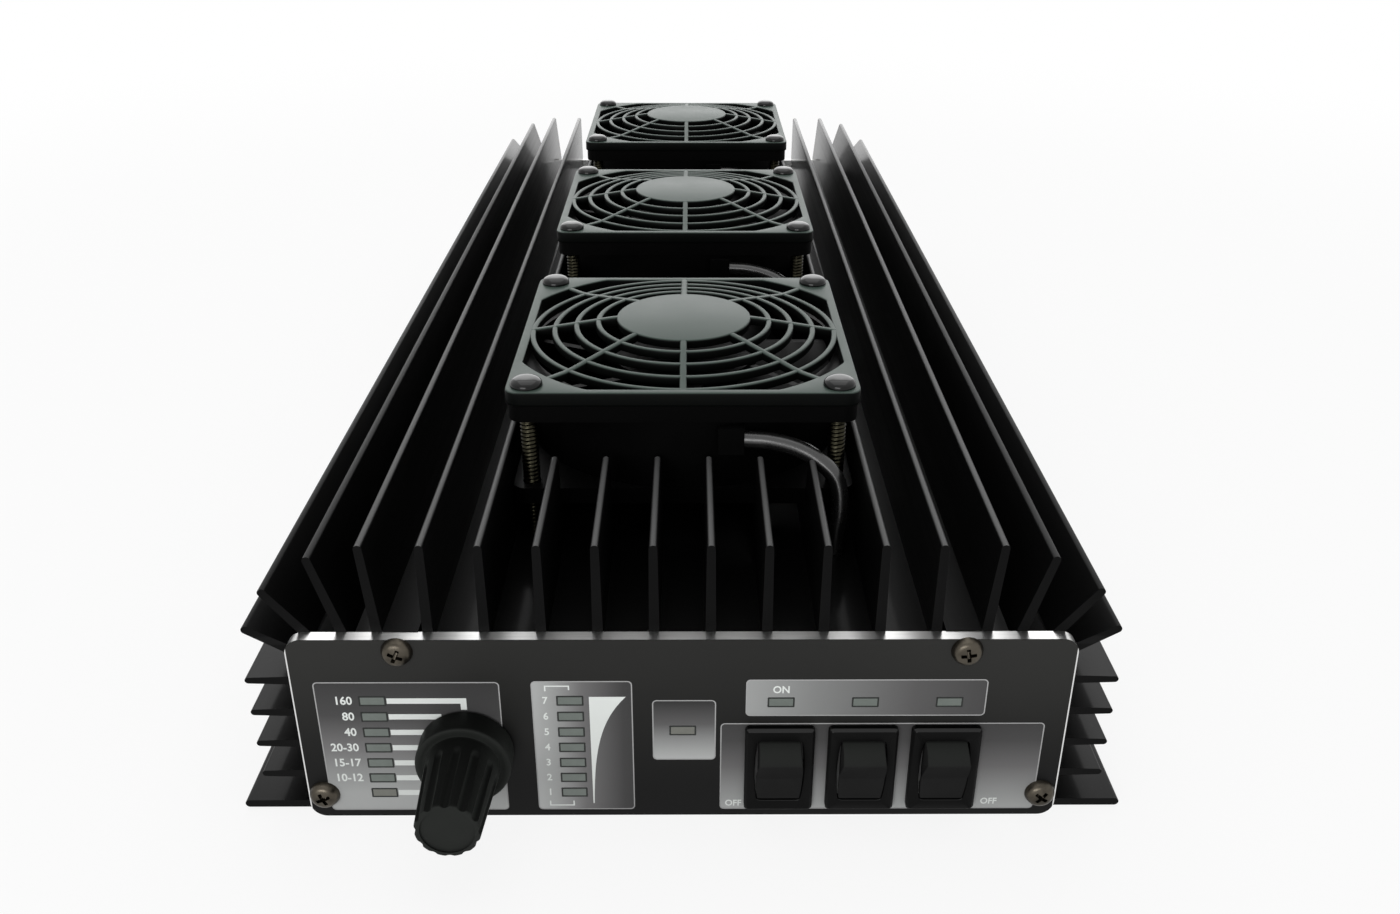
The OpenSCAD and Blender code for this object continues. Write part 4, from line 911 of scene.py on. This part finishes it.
def bezel_shells():
    """Housing behind the panel, a flange with a narrow chamfer and a well for the rocker, as one closed skin.

    The skin is a list of outlines with their inset and height. Three contact tabs stand behind it.
    """
    body = barrel(BEZEL_W - 2, BEZEL_H - 2.4, 0.6)
    flange = barrel(BEZEL_W, BEZEL_H, 1.0)
    well = barrel(WELL_W, WELL_H, WELL_R, WELL_BOW)
    skin = [(body, 0.4, -HOUSING_DEPTH), (body, 0, 0.4 - HOUSING_DEPTH), (body, 0, 0)]
    skin += [(flange, 0.1, 0), (flange, 0, 0.1)]
    skin += [(flange, inset, BEZEL_T - drop) for inset, drop in BEZEL_EDGE]
    skin += [(well, -inset, z) for inset, z in soft_ends(0, BEZEL_T, 0, 0.2, 3)[4:][::-1]]
    skin += [(well, 0, BEZEL_T - WELL_DEPTH)]
    shells = [grid([at_height(points - normals * inset, z) for (points, normals), inset, z in skin])]
    for up in (-6, 0, 6):
        low = (-TAB_W / 2, up - TAB_T / 2, -TAB_REACH)
        shells.append(box(low, (TAB_W / 2, up + TAB_T / 2, 0.5 - HOUSING_DEPTH)))
    return shells


def make_switches():
    """A bezel and a rocker for each switch, the rocker about its pivot."""
    rocker, bezel = rocker_shell(), bezel_shells()
    for i, x in zip(SWITCHES, SWITCH_X):
        seat = [facing_front(s, (x, FACE_Y, BEZEL_Z)) for s in bezel]
        piece(f"bezel_{i}", seat, "switch_plastic", [f"switch_bezel_{i}"], LOOKS["bezel_plastic"])
        key, body = [moved(rocker, (x, PIVOT_Y, BEZEL_Z))], f"rocker_{i}"
        piece(f"rocker_key_{i}", key, "switch_plastic", [body], LOOKS["rocker_plastic"], smooth=14, body=body)


make_switches()


# -------------------- screws


def cross_head(radius, height, sides=96, rings=40):
    """Pan head with a cross recess: a dome over a rounded rim, sunk where either arm of the cross passes.

    The recess is deepest in the middle, and the arms' sides lean a little.
    """
    share = np.linspace(0, 1, rings) ** 0.8
    turn = full_turn(sides)
    r = radius * share[:, None]
    x, y = r * np.cos(turn), r * np.sin(turn)
    dome = height * (1 - 0.34 * share**2 - 0.66 * share**9)[:, None]
    arm, reach, depth = 0.1 * radius, 0.46 * radius, 0.85 * height

    def side(value, limit):
        return np.clip((limit - abs(value)) / (0.03 * radius) + 0.5, 0, 1)

    lean = np.clip(1 - r / (reach * 1.35), 0, 1)
    arms = np.maximum(side(x, arm) * side(y, reach), side(y, arm) * side(x, reach))
    points = np.stack([x, y, dome - depth * arms * (0.45 + 0.55 * lean)], -1)
    return grid(np.concatenate([points, round_z(radius, 0, turn)[None]]))


def screw(head, shank_r, length):
    """A head with its shank below it."""
    return [head, lathe([(0, -length), (shank_r, -length), (shank_r, 0.2), (0, 0.2)], 20)]


def boxes_of(name):
    """Lowest and highest corner of each loose solid of a CAD node, in millimetres, in order of place."""
    work = bmesh.new()
    work.from_mesh(frame["nodes"][name].data)
    bmesh.ops.remove_doubles(work, verts=work.verts, dist=1e-6)
    left, found = set(work.verts), []
    while left:
        reach, solid = [left.pop()], []
        while reach:
            vert = reach.pop()
            solid.append(tuple(vert.co))
            beside = {edge.other_vert(vert) for edge in vert.link_edges} & left
            left -= beside
            reach += beside
        solid = np.array(solid) / MM
        found.append((solid.min(0), solid.max(0)))
    work.free()
    return sorted(found, key=lambda pair: tuple(np.round(pair[0], 2)))


SHANK_SHARE = 0.42  # radius of a shank, as a share of its head's
SOCKET_HEAD_T = 1.6
# name: seat of the heads, their side of it, slot, and how far each screw is turned
SCREWS = {
    "front_panel_screws": (FACE_Y, -1, "dark_screw", (24, 66, 8, 51)),
    "rear_panel_screws": (BACK_Y, 1, "dark_screw", (12, 75, 40, 3)),
    "socket_screws": (
        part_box("socket_screws")[1][1] / MM - SOCKET_HEAD_T, 1, "bright_screw",
        (30, 5, 62, 44, 81, 17, 55, 70),
    ),
}


def make_screws():
    """Cross-head screws of the panels and sockets, each on the axis of its CAD solid."""
    for name, (seat, out, slot, twist) in SCREWS.items():
        shells = []
        for (low, high), angle in zip(boxes_of(name), twist):
            head_r = (high[0] - low[0]) / 2
            height = abs((low if out < 0 else high)[1] - seat)
            place = [(low[0] + high[0]) / 2, seat, (low[2] + high[2]) / 2]
            shank = high[1] - low[1] - height
            for points, faces in screw(cross_head(head_r, height), SHANK_SHARE * head_r, shank):
                shells.append((turned(points, angle)[:, [0, 2, 1]] * [1, out, 1] + place, faces))
        piece(name.replace("screws", "cross_screws"), shells, slot, [name])


make_screws()


# -------------------- fan leads

LEAD_R = 2.0
# from the middle of each fan, along the solids' route, but with a sag that begins a little earlier
LEAD_ROUTE = [
    (14, -39.4, 71.5), (20, -39.9, 71.2), (26, -40.6, 69.8), (31, -41.8, 67.3), (35.2, -43.5, 63.2),
    (36.2, -45, 57.2), (35.6, -45.6, 50.5), (35.4, -45.6, 45), (35.4, -45.6, 36),
]


def smooth_route(points, steps=10):
    """Catmull-Rom curve through the points."""
    points = np.array(points, float)
    padded = np.concatenate([points[:1], points, points[-1:]])
    t = np.linspace(0, 1, steps, endpoint=False)[:, None]
    spans = []
    for a, b, c, d in zip(padded, padded[1:], padded[2:], padded[3:]):
        curve = (2 * a - 5 * b + 4 * c - d) * t**2 + (3 * b - a - 3 * c + d) * t**3
        spans.append(0.5 * (2 * b + (c - a) * t + curve))
    return np.concatenate([*spans, points[-1:]])


def make_leads():
    """The same sleeved lead beside each fan."""
    lead = tube(smooth_route(LEAD_ROUTE), LEAD_R)
    for i, y in zip(FANS, FAN_Y):
        shells = [moved(lead, (FAN_X, y, 0))]
        piece(f"sleeved_lead_{i}", shells, "sleeve", [f"fan_lead_{i}"], smooth=60)


make_leads()


# -------------------- bar lights

INK_T = 0.03
WINDOW_LIFT = 0.07
WINDOW_R, WINDOW_RIM = 0.25, 0.12
OLIVE_TOP = 6  # the band light that begins under this height is olive


def make_lights():
    """Bar lights with rounded rims, whose windows stand level with the print's upper layer."""
    for name in ("band_lights", "power_lights", "warning_light", "status_lights"):
        shells, olive = [], []
        for low, high in boxes_of(name):
            width, _, height = high - low
            stations = soft_ends(FACE_Y - high[1], WINDOW_LIFT, 0, WINDOW_RIM)
            window = prism(rounded_rectangle(width, height, WINDOW_R, 3), stations)
            middle = ((low[0] + high[0]) / 2, FACE_Y, (low[2] + high[2]) / 2)
            lowest = name == "band_lights" and low[2] < OLIVE_TOP
            (olive if lowest else shells).append(facing_front(window, middle))
        slot = "light_olive" if name == "warning_light" else "light_green"
        piece(name.replace("light", "window"), shells, slot, [name])
        if olive:
            piece("automatic_window", olive, "light_olive")


make_lights()


# -------------------- print on the front panel

LINE_W = 0.25
BAR_W = 1.4
BOX_R = 1.0
DARK_TONE, DARK_TINT, LIGHT_TINT = 120, (1.01, 0.99, 1.0), (0.98, 1.0, 0.99)


def plain_ink(name, low_tone, high_tone, tint=(1, 1, 1)):
    """Ink whose tone changes a little over the panel's height."""
    return ink(name, [(0, shade(low_tone, tint)), (1, shade(high_tone, tint))], "Z", 0, 40)


LINE_INK = plain_ink("line_ink", 146, 172)
WHITE_INK = plain_ink("white_ink", 214, 238, (0.96, 1, 0.97))
BORDER_INK = plain_ink("border_ink", 24, 32, (0.9, 1.1, 0.95))

# name: left, right, low, high of a box, the axis of its shading, and the tones from low to high
BOXES = {
    "band_box": (
        -77.8, -38.6, 1.8, 36.6, "Z",
        [(0.0, 168), (0.14, 166), (0.3, 144), (0.5, 112), (0.75, 62), (1.0, 44)],
    ),
    "power_box": (-32.0, -10.65, 1.84, 36.8, "X", [(0.0, 182), (0.2, 160), (0.5, 106), (0.9, 54), (1.0, 48)]),
    "warning_box": (-6.5, 7.1, 15.8, 31.8, "Z", [(0.0, 182), (0.35, 138), (0.6, 86), (1.0, 24)]),
    "status_box": (13.4, 64.5, 27.6, 37.1, "X", [(0.0, 162), (0.3, 130), (0.7, 84), (1.0, 62)]),
    "switch_box": (8.1, 77.8, 1.84, 25.65, "Z", [(0.0, 164), (0.2, 142), (0.5, 98), (0.8, 60), (1.0, 48)]),
}
LIGHT_ROWS = [31.7 - 4.16 * row for row in range(7)]
BAND_LIGHT_X, POWER_LIGHT_X = -65.7, -23.9
WARNING_Z, STATUS_Z = 23.75, 31.2
LIGHT_W, LIGHT_H = 5.5, 2.4
BORDER_R, BORDER_W, BORDER_GAP_X, BORDER_GAP_Z = 0.2, 0.34, 0.12, 0.08
BAR_ENDS = (-45.8, -51.4, -54.2, -54.6, -54.6, -54.2, -53.6)
TURN_W, TURN_LOW = 1.3, 29.4  # the top bar's short turn downwards
WEDGE_X, WEDGE_W, WEDGE_TOP, WEDGE_LOW = -19.85, 7.8, 32.7, 3.6
# left, right, low and high of each line of the brackets over and under the power scale
BRACKETS = (
    (-29.2, -23.9, 35.35, 35.65), (-29.2, -28.9, 34.2, 35.35), (-24.2, -23.9, 34.5, 35.35),
    (-29.5, -24.0, 2.9, 3.2), (-29.5, -29.2, 3.2, 4.3), (-24.3, -24.0, 3.2, 4.3),
)
CAPITAL = 0.69  # height of a capital, as a share of the lettering's size
FIGURE_WIDTH, FIGURE_WEIGHT = 0.9, 0.022


def on_face(points, lift):
    """Points (x, z) of the print, stood lift in front of the panel."""
    return np.stack([points[:, 0], np.full(len(points), FACE_Y - lift), points[:, 1]], -1)


def ink_plate(points, layer):
    """Flat plate of ink over an outline of (x, z) points; each layer lies a little in front of the last."""
    points = np.asarray(points, float)
    return grid([on_face(points, lift) for lift in (-0.01, INK_T * layer)])


def ink_frame(left, right, low, high, radius, width, layer):
    """Outline of a rounded box as a closed band of ink."""
    outer, normals = rounded_rectangle(right - left, high - low, radius)
    inner = outer - normals * width
    middle = np.array([left + right, low + high]) / 2
    rows = [(outer, -0.01), (outer, INK_T * layer), (inner, INK_T * layer), (inner, -0.01)]
    return grid([on_face(points + middle, lift) for points, lift in rows], along=True)


def ink_bar(left, right, low, high):
    """Rectangular plate in the second layer of ink."""
    return ink_plate([(left, low), (right, low), (right, high), (left, high)], 2)


def make_boxes():
    """Shaded boxes behind the controls, and the thin light line round each of them."""
    lines = []
    for name, (left, right, low, high, axis, tones) in BOXES.items():
        ends = (low, high) if axis == "Z" else (left, right)
        stops = [(place, shade(tone, LIGHT_TINT if tone > DARK_TONE else DARK_TINT)) for place, tone in tones]
        outline, _ = rounded_rectangle(right - left, high - low, BOX_R)
        outline += [(left + right) / 2, (low + high) / 2]
        fill = ink(name + "_ink", stops, axis, *ends)
        piece(name, [ink_plate(outline, 1)], "panel_print", material=fill)
        lines.append(ink_frame(left, right, low, high, BOX_R, LINE_W, 2))
    piece("panel_lines", lines, "panel_print", material=LINE_INK)


def make_marks():
    """White bars from the band lights to the knob, the brackets, and the power wedge.

    The wedge's width falls as WEDGE_W exp(-3.4 t), where t runs from 0 at its top to 1 at its foot.
    """
    start = BAND_LIGHT_X + LIGHT_W / 2 + 0.3
    marks = [ink_bar(start, end, z - BAR_W / 2, z + BAR_W / 2) for z, end in zip(LIGHT_ROWS, BAR_ENDS)]
    marks.append(ink_bar(BAR_ENDS[0] - TURN_W, BAR_ENDS[0], TURN_LOW, LIGHT_ROWS[0] - BAR_W / 2))
    share = np.linspace(0, 1, 24)
    z = WEDGE_TOP - share * (WEDGE_TOP - WEDGE_LOW)
    right = WEDGE_X + WEDGE_W * np.exp(-3.4 * share)
    left = np.full(len(share), WEDGE_X)
    marks.append(ink_plate(np.concatenate([np.stack([left, z], -1), np.stack([right, z], -1)[::-1]]), 2))
    marks += [ink_bar(*line) for line in BRACKETS]
    piece("panel_marks", marks, "panel_print", material=WHITE_INK)


def make_borders():
    """Thin dark line round the window of each light."""
    middles = [(x, z) for x in (BAND_LIGHT_X, POWER_LIGHT_X) for z in LIGHT_ROWS]
    middles += [(0.0, WARNING_Z)] + [(x, STATUS_Z) for x in SWITCH_X]
    half_w, half_h = LIGHT_W / 2 + BORDER_GAP_X, LIGHT_H / 2 + BORDER_GAP_Z
    borders = [
        ink_frame(x - half_w, x + half_w, z - half_h, z + half_h, BORDER_R, BORDER_W, 3) for x, z in middles
    ]
    piece("light_borders", borders, "panel_print", material=BORDER_INK)


def figure_shell(text, x, z, height, align):
    """Text of that height as thin solid letters on the panel's face."""
    size = height / CAPITAL
    curve = bpy.data.curves.new("figure", "FONT")
    curve.body, curve.align_x, curve.align_y = text, align, "CENTER"
    curve.size, curve.extrude, curve.offset = size * MM, INK_T * MM, FIGURE_WEIGHT * size * MM
    curve.resolution_u = 3
    drawn = add_object("figure", curve)
    bpy.context.view_layer.update()
    mesh = drawn.evaluated_get(bpy.context.evaluated_depsgraph_get()).to_mesh()
    points = np.empty(len(mesh.vertices) * 3)
    mesh.vertices.foreach_get("co", points)
    across, up, out = points.reshape(-1, 3).T / MM
    faces = [list(polygon.vertices) for polygon in mesh.polygons]
    bpy.data.objects.remove(drawn)
    bpy.data.curves.remove(curve)
    return np.stack([across * FIGURE_WIDTH + x, FACE_Y - INK_T - out, up + z], -1), faces


def make_figures():
    """Plain figures of the band and power scales and the switches' ON and OFF."""
    bands = ("160", "80", "40", "20-30", "15-17", "10-12")
    figures = [(text, -69.95, z, 2.0, "RIGHT") for text, z in zip(bands, LIGHT_ROWS)]
    figures += [(str(7 - row), -29.2, z, 1.75, "CENTER") for row, z in enumerate(LIGHT_ROWS)]
    figures += [("ON", SWITCH_X[0], 34.4, 1.75, "CENTER")]
    figures += [("OFF", x, z, 1.6, "CENTER") for x, z in ((11.1, 3.5), (67.8, 3.9))]
    shells = [figure_shell(*figure) for figure in figures]
    piece("panel_figures", shells, "panel_print", material=WHITE_INK)


make_boxes()
make_marks()
make_borders()
make_figures()


# -------------------- studio

FLOOR_HALF, FLOOR_Z = 8.0, -0.0003  # metres


def make_floor():
    """White table: to the camera and in reflections it is nearly plain white, and wholly so further out."""
    mesh = bpy.data.meshes.new("floor")
    mesh.from_pydata(at_height(QUARTERS * FLOOR_HALF, FLOOR_Z).tolist(), [], [(0, 1, 2, 3)])
    floor = add_object("floor", mesh)
    material = bpy.data.materials.new("floor_paper")
    material.use_nodes = True
    tree = Tree(material.node_tree)
    fine = tree.noise(2, 3)
    paper = tree.node("BsdfDiffuse", {"Color": tree.mix(fine, (0.9, 0.9, 0.9), (0.93, 0.93, 0.93))})
    plain = tree.node("Emission", {"Color": (1, 1, 1, 1), "Strength": 1.0})
    seen = tree.node("LightPath", output=0).most(tree.node("LightPath", output=3))
    away = tree.node("VectorMath", {0: tree.place()}, output=1, operation="LENGTH")
    mixed = tree.node("MixShader", {0: seen * (tree.step(away, 0.3, 0.9) * 0.14 + 0.86), 1: paper, 2: plain})
    tree.end("Material", mixed)
    mesh.materials.append(material)


def make_world():
    """White to the camera, in reflections and through glass, and a plain soft light on everything else."""
    world = bpy.data.worlds.new("studio")
    world.use_nodes = True
    bpy.context.scene.world = world
    tree = Tree(world.node_tree)
    camera, glossy, through = (tree.node("LightPath", output=i) for i in (0, 3, 6))
    shown = camera.most(glossy).most(through)
    soft, white = (tree.node("Background", {"Color": (1, 1, 1, 1), "Strength": power}) for power in (0.5, 1))
    tree.end("World", tree.node("MixShader", {0: shown, 1: soft, 2: white}))


def lamp(name, place, aim, size, power):
    """Soft box that points from place to aim, with these and its size in metres and its power in watts."""
    data = bpy.data.lights.new(name, "AREA")
    data.shape, data.size, data.size_y = "RECTANGLE", *size
    data.energy = power
    place = Vector(place)
    turn = (Vector(aim) - place).to_track_quat("-Z", "Y").to_matrix().to_4x4()
    add_object(name, data).matrix_world = Matrix.Translation(place) @ turn


make_floor()
make_world()
lamp("overhead", (0.0, 0.15, 1.3), (0, 0, 0), (1.4, 1.4), 4.5)
lamp("front", (-0.5, -1.6, 0.45), (0, -0.1, 0.02), (1.0, 0.6), 9.2)
lamp("back", (0.0, 2.6, 1.15), (0, 0, 0.05), (3.2, 2.0), 22.0)

bpy.context.scene.view_settings.view_transform = "Standard"
